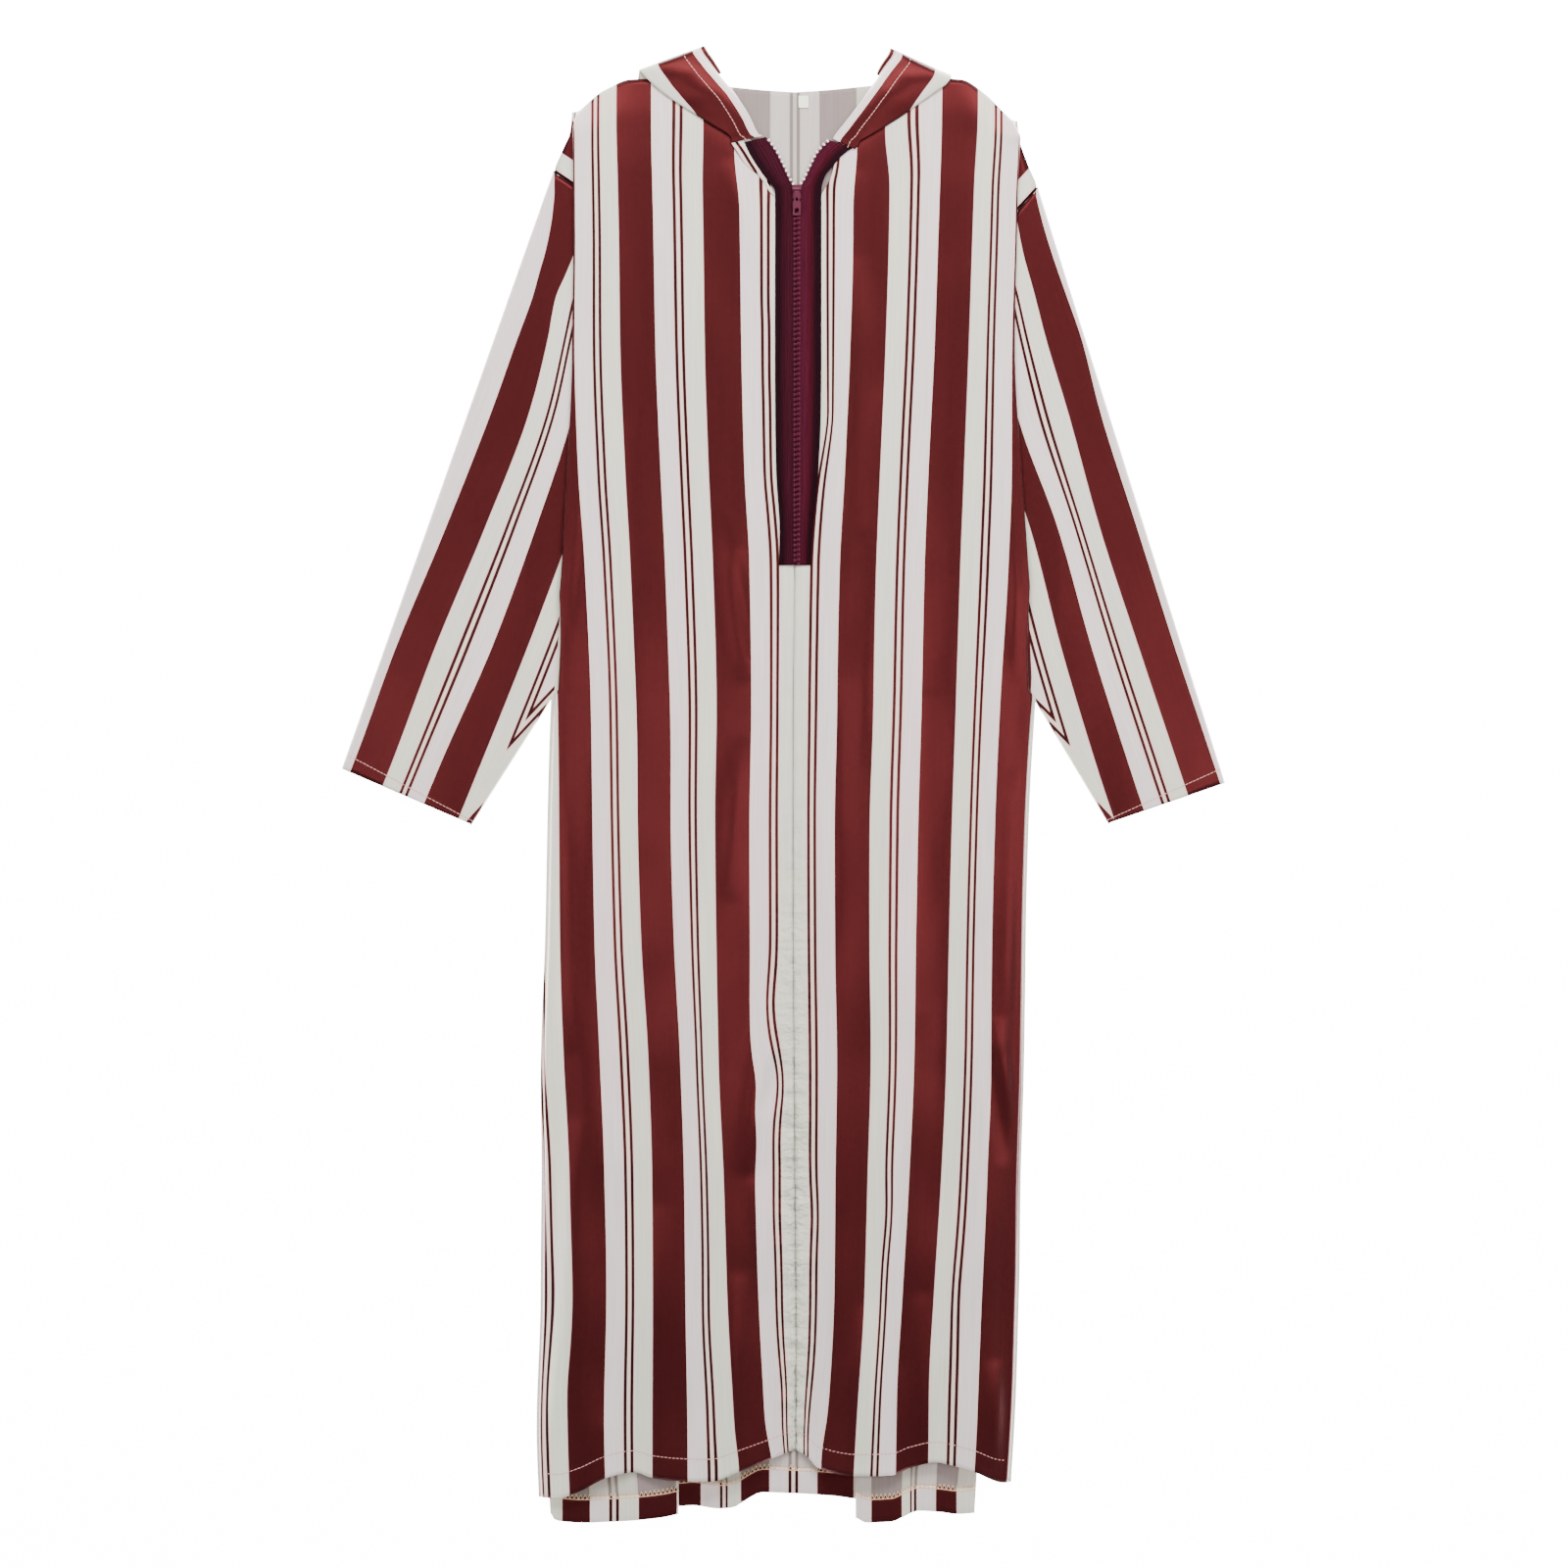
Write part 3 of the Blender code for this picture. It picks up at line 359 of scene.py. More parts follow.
# Zip
CHAIN_X = 1.8
ZIP_Z = 8.7
SLIDER_DROP = 110.0
SLIDER_SIZE = (9.0, 13.0)
PLATE = 1.1
PLATE_GAP = 1.5
PIN_RADIUS = 0.8
PIN_RISE = 2.4
PIN_DROP = 108.0
EAR_SPACING = 6.2
TAB_SIZE = (4.6, 24.0, 1.5)
TAB_WIDE = 7.2
TAB_WINDOW = (3.6, 5.2)
TAB_SLOT = (2.2, 4.2)
TAB_EYE = 1.75
TAB_HOLE = 1.15
TAB_DROOP = 6.0
POST = (1.6, 3.0)
POST_INSET = 1.6
EAR = (1.1, 3.4, 3.6)
EAR_SINK = 0.2
TAB_NECK_SHARE = 0.5
TAB_PLATE_SHARE = 0.55
TOOTH_WIDTH = 2.7
TOOTH_THICK = 2.2
TOOTH_PITCH = 4.6           # of one side; the two sides' teeth lie between each other
TOOTH_LENGTH = 2.0
TOOTH_REACH = 0.7           # past the middle of the chain
# Painted glint: above this drop the open teeth are painted near white, for the light that their tips catch.
OPEN_END = 104.0            # above here the teeth are open and their tips catch the light

# Looks, with colours as they are seen on the screen
WHITE = (1.0, 1.0, 1.0, 1.0)
PRINT = {
    "red": (67, 20, 23), "outline": (42, 8, 13), "halo": (216, 207, 205), "white_a": (210, 211, 206),
    "white_b": (213, 210, 210), "line": (5, 4, 4), "core": (216, 208, 205),
}
GHOST = {
    "red": (176, 168, 166), "outline": (172, 164, 162), "halo": (202, 198, 194), "white_a": (203, 203, 198),
    "white_b": (204, 201, 199), "line": (166, 162, 158), "core": (202, 197, 193),
}
GHOST_SURFACE = (0.7, 0.1)              # roughness and gloss of the print's wrong side
GLOSS_TINT = (1.0, 0.16, 0.17, 1.0)     # the satin's gloss takes on the red of its threads
STREAK_GRAIN = (0.55, 0.012, 1.0)
STREAK_TONES = [(0.3, (0.86, 0.86, 0.86, 1.0)), (0.7, (1.08, 1.08, 1.08, 1.0))]
PATCH_GRAIN = (0.03, 0.008, 1.0)
PATCH_TONES = [(0.35, (1.0, 0.94, 0.98, 1.0)), (0.65, (1.0, 1.0, 0.93, 1.0))]
UNEVENNESS = 0.6
WEAVE_GRAIN, WEAVE_BUMP = (1.6, 0.5, 1.0), (0.25, 0.15)
# Painted light: the right tape's plum is painted lighter, as if the light fell on it more.
TAPE_PAINTED_LIGHT = {LEFT: 2, RIGHT: 24}        # how much lighter each tape is
TAPE_STREAK_GRAIN = (14.0, 0.02, 1.0)
TAPE_STREAK_TONES = [(0.3, (0.6, 0.6, 0.6, 1.0)), (0.7, (1.25, 1.15, 1.2, 1.0))]
TAPE_UNEVENNESS = 0.8
TAPE_WEAVE_GRAIN, TAPE_BUMP = (30.0, 1.4, 1.0), (0.4, 0.2)
TAPE_TINT = (1.0, 0.2, 0.4, 1.0)
WINE_TINT = (1.0, 0.3, 0.5, 1.0)
PLAIN_BUMP = 0.4
# Plain materials: colour, roughness, scale and contrast of the grain, its depth, gloss and the gloss's tint
PLAIN = {
    "wine_resin_teeth": ((96, 30, 48), 0.28, 400.0, 0.1, 0.03, 0.6, WINE_TINT),
    # The open teeth's near-white colour is a painted glint on the wine resin.
    "wine_resin_painted_glint": ((238, 216, 218), 0.28, 400.0, 0.1, 0.03, 0.6, WHITE),
    "slider_paint_wine": ((98, 36, 54), 0.3, 300.0, 0.1, 0.03, 0.6, WINE_TINT),
    "label_weave": ((226, 224, 214), 0.7, 1500.0, 0.05, 0.1, 0.5, WHITE),
    "pink_thread": ((208, 184, 180), 0.6, 900.0, 0.08, 0.1, 0.2, WHITE),
    "cream_thread": ((214, 204, 188), 0.6, 900.0, 0.08, 0.1, 0.2, WHITE),
    "dark_seam": ((30, 12, 14), 0.7, 900.0, 0.1, 0.1, 0.1, WHITE),
}

# Studio, in metres: each light's place, aim, size and power
LIGHTS = {
    "head": ((0.15, 1.5, 1.6), (0.0, 0.1, 0.0), (2.2, 0.8), 90.0),
    "left": ((-1.5, 0.0, 2.6), (0.0, 0.0, 0.0), (0.45, 2.6), 40.0),
    "right": ((1.5, 0.0, 2.6), (0.0, 0.0, 0.0), (0.45, 2.6), 50.0),
}
STUDIO_LIGHT = 0.45
FLOOR_REACH = 16.0
FLOOR_COLOUR = (0.93, 0.93, 0.93, 1.0)
FLOOR_GLOW = 14.0
CAMERA_PLACE = (0.0006, 0.00085, 4.0)
CAMERA_LENS = 100.0
CAMERA_SENSOR = 36.0


def curve(points):
    """Smooth function through (place, value) points that never overshoots them."""
    places = [point[0] for point in points]
    values = [point[1] for point in points]
    slopes = [(b[1] - a[1]) / (b[0] - a[0]) for a, b in zip(points, points[1:])]
    tangents = [slopes[0]]
    for before, after in zip(slopes, slopes[1:]):
        tangents.append(0.0 if before * after <= 0 else 2 * before * after / (before + after))
    tangents.append(slopes[-1])

    def value(at):
        if at <= places[0]:
            return values[0]
        if at >= places[-1]:
            return values[-1]
        i = bisect.bisect_right(places, at) - 1
        span = places[i + 1] - places[i]
        t = (at - places[i]) / span
        return (values[i] * (1 + 2 * t) * (1 - t) ** 2 + span * tangents[i] * t * (1 - t) ** 2
                + values[i + 1] * t * t * (3 - 2 * t) + span * tangents[i + 1] * t * t * (t - 1))

    return value


def columns(rows, names):
    """A curve for each named column of a table, over its first column."""
    return {name: curve([(row[0], row[i]) for row in rows]) for i, name in enumerate(names) if i}


# Light that leaves a surface for the tone that the default view transform shows it in, in 255ths
SCREEN_TONES = [(0, 0.0), (7, 0.004), (15, 0.008), (27, 0.016), (42, 0.03), (65, 0.06), (96, 0.12),
                (118, 0.18), (136, 0.25), (153, 0.35), (170, 0.5), (184, 0.7), (197, 1.0), (207, 1.4),
                (217, 2.0), (227, 3.0), (241, 6.0)]
LIGHT_LEVEL = 2.5           # light on the robe: what a perfectly white surface sends back
TONE = curve(SCREEN_TONES)


def seen(red, green, blue):
    """Base colour that is seen in the studio's light as this screen colour."""
    return tuple(min(1.0, TONE(value) / LIGHT_LEVEL) for value in (red, green, blue)) + (1.0,)


FRONT = {side: columns(rows, FRONT_COLUMNS) for side, rows in FRONT_ROWS.items()}
SEAM = {side: curve(rows) for side, rows in SEAM_ROWS.items()}
PAIR = {side: curve(rows) for side, rows in PAIR_PLACES.items()}
TUCK = columns(FRONT_TUCK, TUCK_COLUMNS)
FLUTES = columns(FRONT_FLUTES, FLUTE_COLUMNS)
OUTER = curve(OUTER_EDGE)
TOP = {"front": curve(FRONT_TOP), "back": curve(BACK_TOP)}
HEM = {("front", side): curve(FRONT_HEM[side]) for side in SIDES}
HEM.update({("back", side): curve(BACK_HEM[side]) for side in SIDES})
BACK_EDGE = {side: curve(rows) for side, rows in BACK_SIDE.items()}
BACK_TUCKS = {side: columns(rows, TUCK_COLUMNS) for side, rows in BACK_TUCK.items()}
SLEEVE_LINES = {side: columns(rows, SLEEVE_COLUMNS) for side, rows in SLEEVE_STRIPES.items()}
TAPES = {side: [curve(list(enumerate(lane))) for lane in zip(*rows)] for side, rows in TAPE_ROWS.items()}


def smoothstep(t):
    t = min(1.0, max(0.0, t))
    return t * t * (3 - 2 * t)


def spread(start, end, step):
    """Even places from start to end, about a step apart."""
    count = max(1, round((end - start) / step))
    return [start + (end - start) * i / count for i in range(count + 1)]


def robe_mm(side, x, drop, z):
    return (CENTRE_X + side * x, SHOULDER_Y - drop, z)


def world(side, x, drop, z):
    return tuple(value * MM for value in robe_mm(side, x, drop, z))


def tuck_path(turn, depth, radius=TUCK_RADIUS):
    """Cloth that turns down by an angle, runs on and turns level again, as (forward, down, length) steps."""
    bend = max(radius * math.radians(turn), MIN_BEND)
    step = bend / BEND_STEPS
    angle_step = math.radians(turn) / BEND_STEPS
    path = [(0.0, 0.0, 0.0)]

    def go(length, angle):
        x, z, run = path[-1]
        path.append((x + length * math.cos(angle), z - length * math.sin(angle), run + length))

    for i in range(BEND_STEPS):
        go(step, angle_step * (i + 0.5))
    go(depth, math.radians(turn))
    for i in range(BEND_STEPS):
        go(step, angle_step * (BEND_STEPS - i - 0.5))
    return path


def hood_shape(x, drop):
    """1 over the hood that is folded under the back, falling to 0 outside it."""
    fall = max(0.0, drop - HOOD_TOP_STRAIGHT) / (HOOD_BOTTOM + HOOD_CLEARANCE - HOOD_TOP_STRAIGHT)
    reach = math.hypot(x / HOOD_WIDTH, fall)
    outside = max(0.0, (reach - HOOD_MARGIN) * HOOD_WIDTH / HOOD_FADE)
    return 0.5 + 0.5 * math.cos(math.pi * min(1.0, outside))


def back_height(x, drop):
    return FLOOR_LAYER + (HOOD_THICK + SEAM_GAP + HOOD_LIFT) * hood_shape(x, drop)


def tuck_top(drop):
    return OUTER(drop) - tuck_path(TUCK["turn"](drop), TUCK["depth"](drop))[-1][1]


def height_across(drop):
    """Height of the front over the share of the way from its centre edge to the tuck or side."""
    heights = [FLUTES[name](drop) for name in FLUTE_COLUMNS[1:]] + [tuck_top(drop)]
    return curve(list(zip(FLUTE_PLACES + (1.0,), heights)))


def cloth_across(side, drop):
    """Distance from the centre front line over the distance along the front's cloth."""
    points = [(0.0, FRONT[side]["edge"](drop))]
    points += [(mid, FRONT[side][name](drop)) for mid, name in zip(RED_MIDDLES, FRONT_COLUMNS[2:5])]
    (u0, x0), (u1, x1) = points[-2:]
    points.append((CLOTH_END, x1 + (x1 - x0) / (u1 - u0) * (CLOTH_END - u1)))
    return curve(points)


def seam_x(side, drop):
    if drop <= SEAM_ROWS[side][-1][0]:
        return SEAM[side](drop)
    return cloth_across(side, drop)(FRONT[side]["shown"](drop))


def warp(panel, side, places, drop):
    """Bends a level row towards the upper edge and the hem, read at a place for each."""
    bottom = BODY_BOTTOM if panel == "front" else BACK_BOTTOM
    upper = max(0.0, 1.0 - (drop - BODY_TOP) / TOP_FADE)
    lower = max(0.0, (drop - HEM_START) / (bottom - HEM_START))
    return (drop + (TOP[panel](places[0]) - BODY_TOP) * upper
            + (HEM[panel, side](places[1]) - bottom) * lower)


def corner(side, x, drop):
    """How much lower the rounded upper corner of the body lies."""
    begin, reach, fall = CORNERS[side]
    share = min(1.0, max(0.0, (x - begin) / reach))
    return fall * share ** 2 * (1 - smoothstep((drop - BODY_TOP) / CORNER_FADE))


def inverse(function, value, low, high):
    """Place at which a rising function has a value."""
    for _ in range(24):
        middle = (low + high) / 2
        if function(middle) < value:
            low = middle
        else:
            high = middle
    return (low + high) / 2


def crease_lift(side, x, drop):
    lift = 0.0
    for x0, drop0, x1, drop1, width, height in CREASES[side]:
        if drop < min(drop0, drop1) - width or drop > max(drop0, drop1) + width:
            continue
        dx, dd = x1 - x0, drop1 - drop0
        length = math.hypot(dx, dd)
        along = ((x - x0) * dx + (drop - drop0) * dd) / length / length
        beside = ((x - x0) * dd - (drop - drop0) * dx) / length
        if abs(beside) > 2.5 * width or not -0.1 < along < 1.1:
            continue
        ends = math.sin(math.pi * min(1.0, max(0.0, along))) ** 0.7
        lift += height * ends * math.exp(-(beside / width) ** 2)
    return lift * CREASE_STRENGTH


def sway(side, along, drop):
    """How far the pattern has shifted outwards."""
    shift = 0.0
    for at, level, wide, tall, move in SWAYS[side]:
        shift += move * math.exp(-((along - at) / wide) ** 2 - ((drop - level) / tall) ** 2)
    return shift


def pucker_lift(side, x, drop):
    """Small puckers along the centre seam below the zip, stronger lower down."""
    if x > 3 * PUCKER_REACH or drop < ZIP_END:
        return 0.0
    strength = 0.35 + 0.65 * smoothstep((drop - 700) / 400)
    wave = noise.noise((drop / PUCKER_PITCH, x / (1.4 * PUCKER_PITCH), 7.0 + 3 * side))
    return PUCKER_HEIGHT * strength * wave * 2 * math.exp(-(x / PUCKER_REACH) ** 2)


def soft_lift(side, x, drop):
    return SOFT_HEIGHT * noise.noise((x * SOFT_SCALE * 2, drop * SOFT_SCALE, 3.0 * side))


# Meshes

def make_object(name, mesh, body="robe"):
    obj = bpy.data.objects.new(name, mesh)
    bpy.context.scene.collection.objects.link(obj)
    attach(obj, body)
    return obj


def add_grain(mesh, values):
    grain = mesh.attributes.new("grain", "FLOAT_VECTOR", "POINT")
    grain.data.foreach_set("vector", [number for value in values for number in value])


def add_cloth(name, side, rows, materials, nodes, closed=False, thickness=SHELL):
    """Cloth shell through rows of (x, drop, z, along, length) points, its first material facing up."""
    count = len(rows[0])
    points = [world(side, *point[:3]) for row in rows for point in row]
    across = count if closed else count - 1
    faces = []
    for i in range(len(rows) - 1):
        for j in range(across):
            k = (j + 1) % count
            face = (i * count + j, i * count + k, (i + 1) * count + k, (i + 1) * count + j)
            faces.append(face if side == LEFT else face[::-1])
    mesh = bpy.data.meshes.new(name)
    mesh.from_pydata(points, [], faces)
    mesh.shade_smooth()
    add_grain(mesh, [(point[3], point[4], 0.0) for row in rows for point in row])
    for material in materials:
        mesh.materials.append(material)
    sheet = make_object(name, mesh)
    wall = sheet.modifiers.new("wall", "SOLIDIFY")
    wall.thickness = thickness * MM
    wall.offset = 0.0
    if len(materials) > 1:
        wall.material_offset = 1
    if nodes:
        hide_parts(*nodes)
    return sheet


def join_solids(name, solids, material, body="robe", light=None, painted_glint_faces=0):
    """One mesh of many small closed solids, each a list of corners and of faces, in world millimetres."""
    points, faces = [], []
    for corners, sides in solids:
        faces += [[len(points) + i for i in face] for face in sides]
        points += [(x * MM, y * MM, z * MM) for x, y, z in corners]
    mesh = bpy.data.meshes.new(name)
    mesh.from_pydata(points, [], faces)
    mesh.materials.append(material)
    # A second material, a painted glint, goes on the first faces, as many as given.
    if light:
        mesh.materials.append(light)
        for polygon in mesh.polygons[:painted_glint_faces]:
            polygon.material_index = 1
    obj = make_object(name, mesh, body)
    return obj


BLOCK_FACES = [(3, 2, 1, 0), (0, 1, 5, 4), (1, 2, 6, 5), (2, 3, 7, 6), (3, 0, 4, 7),
               (4, 5, 9, 8), (5, 6, 10, 9), (6, 7, 11, 10), (7, 4, 8, 11), (8, 9, 10, 11)]


def block(centre, direction, length, width, bottom, top, shoulder=0.6, inset=0.22):
    """Low block with a chamfered top, lying along a level direction."""
    ux, uy = direction
    corners = []
    for height, shrink in ((bottom, 0.0), (bottom + (top - bottom) * shoulder, 0.0), (top, inset)):
        half_length, half_width = (length / 2) * (1 - shrink), (width / 2) * (1 - shrink)
        for along, beside in ((-1, -1), (1, -1), (1, 1), (-1, 1)):
            corners.append((centre[0] + ux * half_length * along - uy * half_width * beside,
                            centre[1] + uy * half_length * along + ux * half_width * beside, height))
    return corners, BLOCK_FACES


def along_path(points, pitch, offset=0.0):
    """Even places on a path of world points, each with the path's level direction there."""
    places = []
    travelled, wanted = 0.0, offset
    for (x0, y0, z0), (x1, y1, z1) in zip(points, points[1:]):
        length = math.hypot(x1 - x0, y1 - y0)
        while length and wanted <= travelled + length:
            t = (wanted - travelled) / length
            places.append(((x0 + (x1 - x0) * t, y0 + (y1 - y0) * t, z0 + (z1 - z0) * t),
                           ((x1 - x0) / length, (y1 - y0) / length)))
            wanted += pitch
        travelled += length
    return places


def add_stitches(name, side, points, thread):
    """Row of lockstitches along points on the cloth's surface."""
    path = [robe_mm(side, *point) for point in points]
    solids = [block(place, way, STITCH_PITCH * STITCH_SHARE, STITCH_WIDTH, place[2] - STITCH_SINK,
                    place[2] + STITCH_RISE)
              for place, way in along_path(path, STITCH_PITCH)]
    join_solids(name, solids, thread)


def on_surface(row):
    """Points on the upper surface of a row of a shell."""
    return [(x, drop, z + SHELL / 2) for x, drop, z, _, _ in row]


def add_overlock(name, points, thread):
    """Zigzag of thread over the raw edge of the back's turned-up hem."""
    path = [robe_mm(RIGHT, *point) for point in points]
    solids = []
    sign = 1
    width, sink, rise = OVERLOCK_THREAD
    places = along_path(path, OVERLOCK_PITCH)
    for (first, way), (second, _) in zip(places, places[1:]):
        start = (first[0], first[1] + OVERLOCK_HALF * sign)
        end = (second[0], second[1] - OVERLOCK_HALF * sign)
        length = math.hypot(end[0] - start[0], end[1] - start[1])
        centre = ((start[0] + end[0]) / 2, (start[1] + end[1]) / 2)
        direction = ((end[0] - start[0]) / length, (end[1] - start[1]) / length)
        level = (first[2] + second[2]) / 2
        solids.append(block(centre, direction, length, width, level - sink, level + rise))
        sign = -sign
    width, sink, rise = OVERLOCK_EDGE
    for place, way in places:
        solids.append(block((place[0], place[1] - OVERLOCK_HALF), way, OVERLOCK_PITCH, width, place[2] - sink,
                            place[2] + rise))
    join_solids(name, solids, thread)


def neck_grain(side, x, drop, along, red_x):
    """Place in the print beside the zip, where the pair of lines hangs straight."""
    if x >= red_x or drop > PAIR_FADE[1]:
        return along
    place = PAIR[side](drop)
    near = PAIR_GRAIN + (x - place) * (RED_START - PAIR_GRAIN) / (red_x - place)
    share = smoothstep((drop - PAIR_FADE[0]) / (PAIR_FADE[1] - PAIR_FADE[0]))
    return near + (along - near) * share


def front_columns(side):
    return round(FRONT[side]["shown"](COLUMNS_DROP) / STEP_ACROSS)


def front_row(side, drop):
    cloth = cloth_across(side, drop)
    red_x = cloth(RED_START)
    edge = cloth(FRONT[side]["shown"](drop))
    turn, depth = TUCK["turn"](drop), TUCK["depth"](drop)
    path = tuck_path(turn, depth)
    seam = seam_x(side, drop)
    widest = max(step[0] for step in path)
    start = min(edge - widest - WALL / 2, seam - 1.0 - path[-1][0])
    end = inverse(cloth, start, 0.0, CLOTH_END)
    height = height_across(drop)
    gap = SEAM_GAP if drop > ZIP_END else 0.0
    row = []
    count = front_columns(side)
    for i in range(count + 1):
        along = end * i / count
        x = cloth(along) + gap * max(0.0, 1 - along / GAP_FADE)
        row.append((x, height(i / count), along))
    top = height(1.0)
    row += [(start + forward, top + down, end + run) for forward, down, run in path[1:]]
    low = OUTER(drop)
    last_x, _, last_run = row[-1]
    for share in (0.25, 0.5, 0.75, 1.0):
        row.append((last_x + (seam - last_x) * share, low, last_run + abs(seam - last_x) * share))
    made = []
    for i, (x, z, along) in enumerate(row):
        place = min(x, start)
        bent = warp("front", side, (place, place), drop)
        bent += corner(side, place, drop)
        along = neck_grain(side, x, bent, along, red_x) - sway(side, along, bent)
        if i <= count:
            share = i / count
            calm = smoothstep(share / 0.05) * smoothstep((1 - share) / 0.06)
            z += calm * (crease_lift(side, x, bent) + soft_lift(side, x, bent)) + pucker_lift(side, x, bent)
            if drop > ZIP_END:
                z -= SEAM_DIP[0] * math.exp(-(x / SEAM_DIP[1]) ** 2)
            z = max(z, SEAM_Z)
        elif i >= count + len(path) - 1:
            along = shoulder_grain(side, x, bent) or along
        made.append((x, bent, z, along, bent))
    return made


def add_front(side, cloth, thread):
    drops = spread(BODY_TOP, BODY_BOTTOM, STEP_DOWN)
    rows = [front_row(side, drop) for drop in drops]
    name = "front_" + SIDES[side]
    sheet = add_cloth(name + "_cloth", side, rows, [cloth["right"], cloth["wrong"]], [name])
    hem = front_row(side, BODY_BOTTOM - HEM_STITCH)[:front_columns(side)]
    add_stitches(name + "_topstitch", side, on_surface(hem), thread)


def back_row(side, drop, centre_drop):
    tucks = BACK_TUCKS[side]
    path = tuck_path(tucks["turn"](drop), tucks["depth"](drop))
    rise = -path[-1][1]
    widest = max(step[0] for step in path)
    underarm = SEAM_ROWS[side][-1][0]
    outer = seam_x(side, drop) if drop <= underarm else BACK_EDGE[side](drop)
    tuck_x = BACK_TUCK_X[side]
    start = tuck_x + widest
    level_to = max(start - min(step[0] for step in path), start) + TUCK_ROOM
    points = []
    steps = round((BACK_REACH - tuck_x) / BACK_STEP)
    for i in range(steps):
        x = outer + (start - outer) * i / steps
        beyond = min(1.0, max(0.0, x - level_to) / TUCK_FADE)
        points.append([x, rise * (0.5 + 0.5 * math.cos(math.pi * beyond)), 0.0, True])
    points += [[start - forward, rise + down, run, rise + down > rise / 2] for forward, down, run in path]
    last = points[-1][0]
    inner_steps = round(tuck_x / BACK_STEP)
    points += [[last * (1 - (i + 1) / inner_steps), 0.0, 0.0, False] for i in range(inner_steps)]
    row = []
    for x, lift, run, upper in points:
        level = drop + (centre_drop - drop) * max(0.0, 1 - x / last)
        hem_x = max(x, tuck_x + TUCK_CLEAR) if upper or x > start else min(x, tuck_x - TUCK_CLEAR)
        bent = warp("back", side, (x, hem_x), level) + corner(side, x, level)
        row.append([x, bent, back_height(x, bent) + lift, 0.0])
    # distance along the cloth, from the centre line outwards
    centre = row[-1]
    total = 0.0
    centre[3] = 0.0
    for i in range(len(row) - 2, -1, -1):
        here, before = row[i], row[i + 1]
        total += math.hypot(here[0] - before[0], here[2] - before[2])
        here[3] = total
    shift = smoothstep((drop - STRIPE_SHIFT_START) / (BACK_BOTTOM - STRIPE_SHIFT_START))
    inner, outer_part = [curve(knots) for knots in HEM_STRIPES[side]]
    first, end = steps, steps + len(path) - 1
    run_start, run_end = row[end][3], row[first][3]
    for i, point in enumerate(row):
        if i >= end:
            target = inner(point[0])
        elif i <= first:
            target = outer_part(point[0])
        else:
            share = (point[3] - run_start) / (run_end - run_start)
            target = inner(row[end][0]) + (outer_part(row[first][0]) - inner(row[end][0])) * share
        point[3] += (target - point[3]) * shift
    return [tuple(point) for point in row]


def add_back(cloth, overlock):
    rows = []
    for share in spread(0.0, 1.0, STEP_DOWN / (BACK_BOTTOM - BODY_TOP)):
        drop = BODY_TOP + (BACK_BOTTOM - BODY_TOP) * share
        left = [(-x, d, z, -u) for x, d, z, u in back_row(LEFT, drop, drop)]
        right = back_row(RIGHT, drop, drop)[-2::-1]
        rows.append([(x, d, z, u, d) for x, d, z, u in left + right])
    last = rows[-1]
    for share in (0.3, 0.7, 1.0):
        angle = math.pi * share
        rows.append([(x, d + 0.5 * math.sin(angle), z + BAND_LIFT * (1 - math.cos(angle)) / 2, u, d)
                     for x, d, z, u, _ in last])
    for share in spread(0.0, 1.0, 0.2)[1:]:
        rows.append([(x, d - BAND * share, z + BAND_LIFT, u, d) for x, d, z, u, _ in last])
    sheet = add_cloth("back_cloth", RIGHT, rows, [cloth["wrong_back"], cloth["right_back"]], ["back"])
    add_overlock("back_overlock", on_surface(rows[-1]), overlock)


def sleeve_grain(side, x, drop):
    """Place in the repeat of the stripes on the upper layer of a sleeve."""
    lines = SLEEVE_LINES[side]
    a_start, a_end = lines["a_start"](drop), lines["a_end"](drop)
    b_start, b_end = lines["b_start"](drop), lines["b_end"](drop)
    knots = [(-a_start, 0.0), (-a_end, RED_WIDTH), (-b_start, PERIOD), (-b_end, PERIOD + RED_WIDTH)]
    at = -x
    if at <= knots[0][0]:
        return max(-SLEEVE_WHITE, (at - knots[0][0]) * RED_WIDTH / (a_start - a_end))
    if at >= knots[-1][0]:
        return knots[-1][1] + (at - knots[-1][0])
    for (p0, v0), (p1, v1) in zip(knots, knots[1:]):
        if at <= p1:
            return v0 + (v1 - v0) * (at - p0) / (p1 - p0)
    return 0.0


def shoulder_grain(side, x, drop):
    """Place in the repeat above the line that crosses the sleeve's head, or None below it."""
    (x0, d0), (x1, d1) = SHOULDER_BAND[side]
    length = math.hypot(x1 - x0, d1 - d0)
    above = ((x0 - x) * (d1 - d0) + (drop - d0) * (x1 - x0)) / length
    if above <= SHOULDER_BAND_START:
        return None
    line = PAIR_MIDDLE - PAIR_HALF + LINE / 2 + RED_START
    return line - above * (line - RED_WIDTH - RED_START) / SHOULDER_BAND_WIDTH


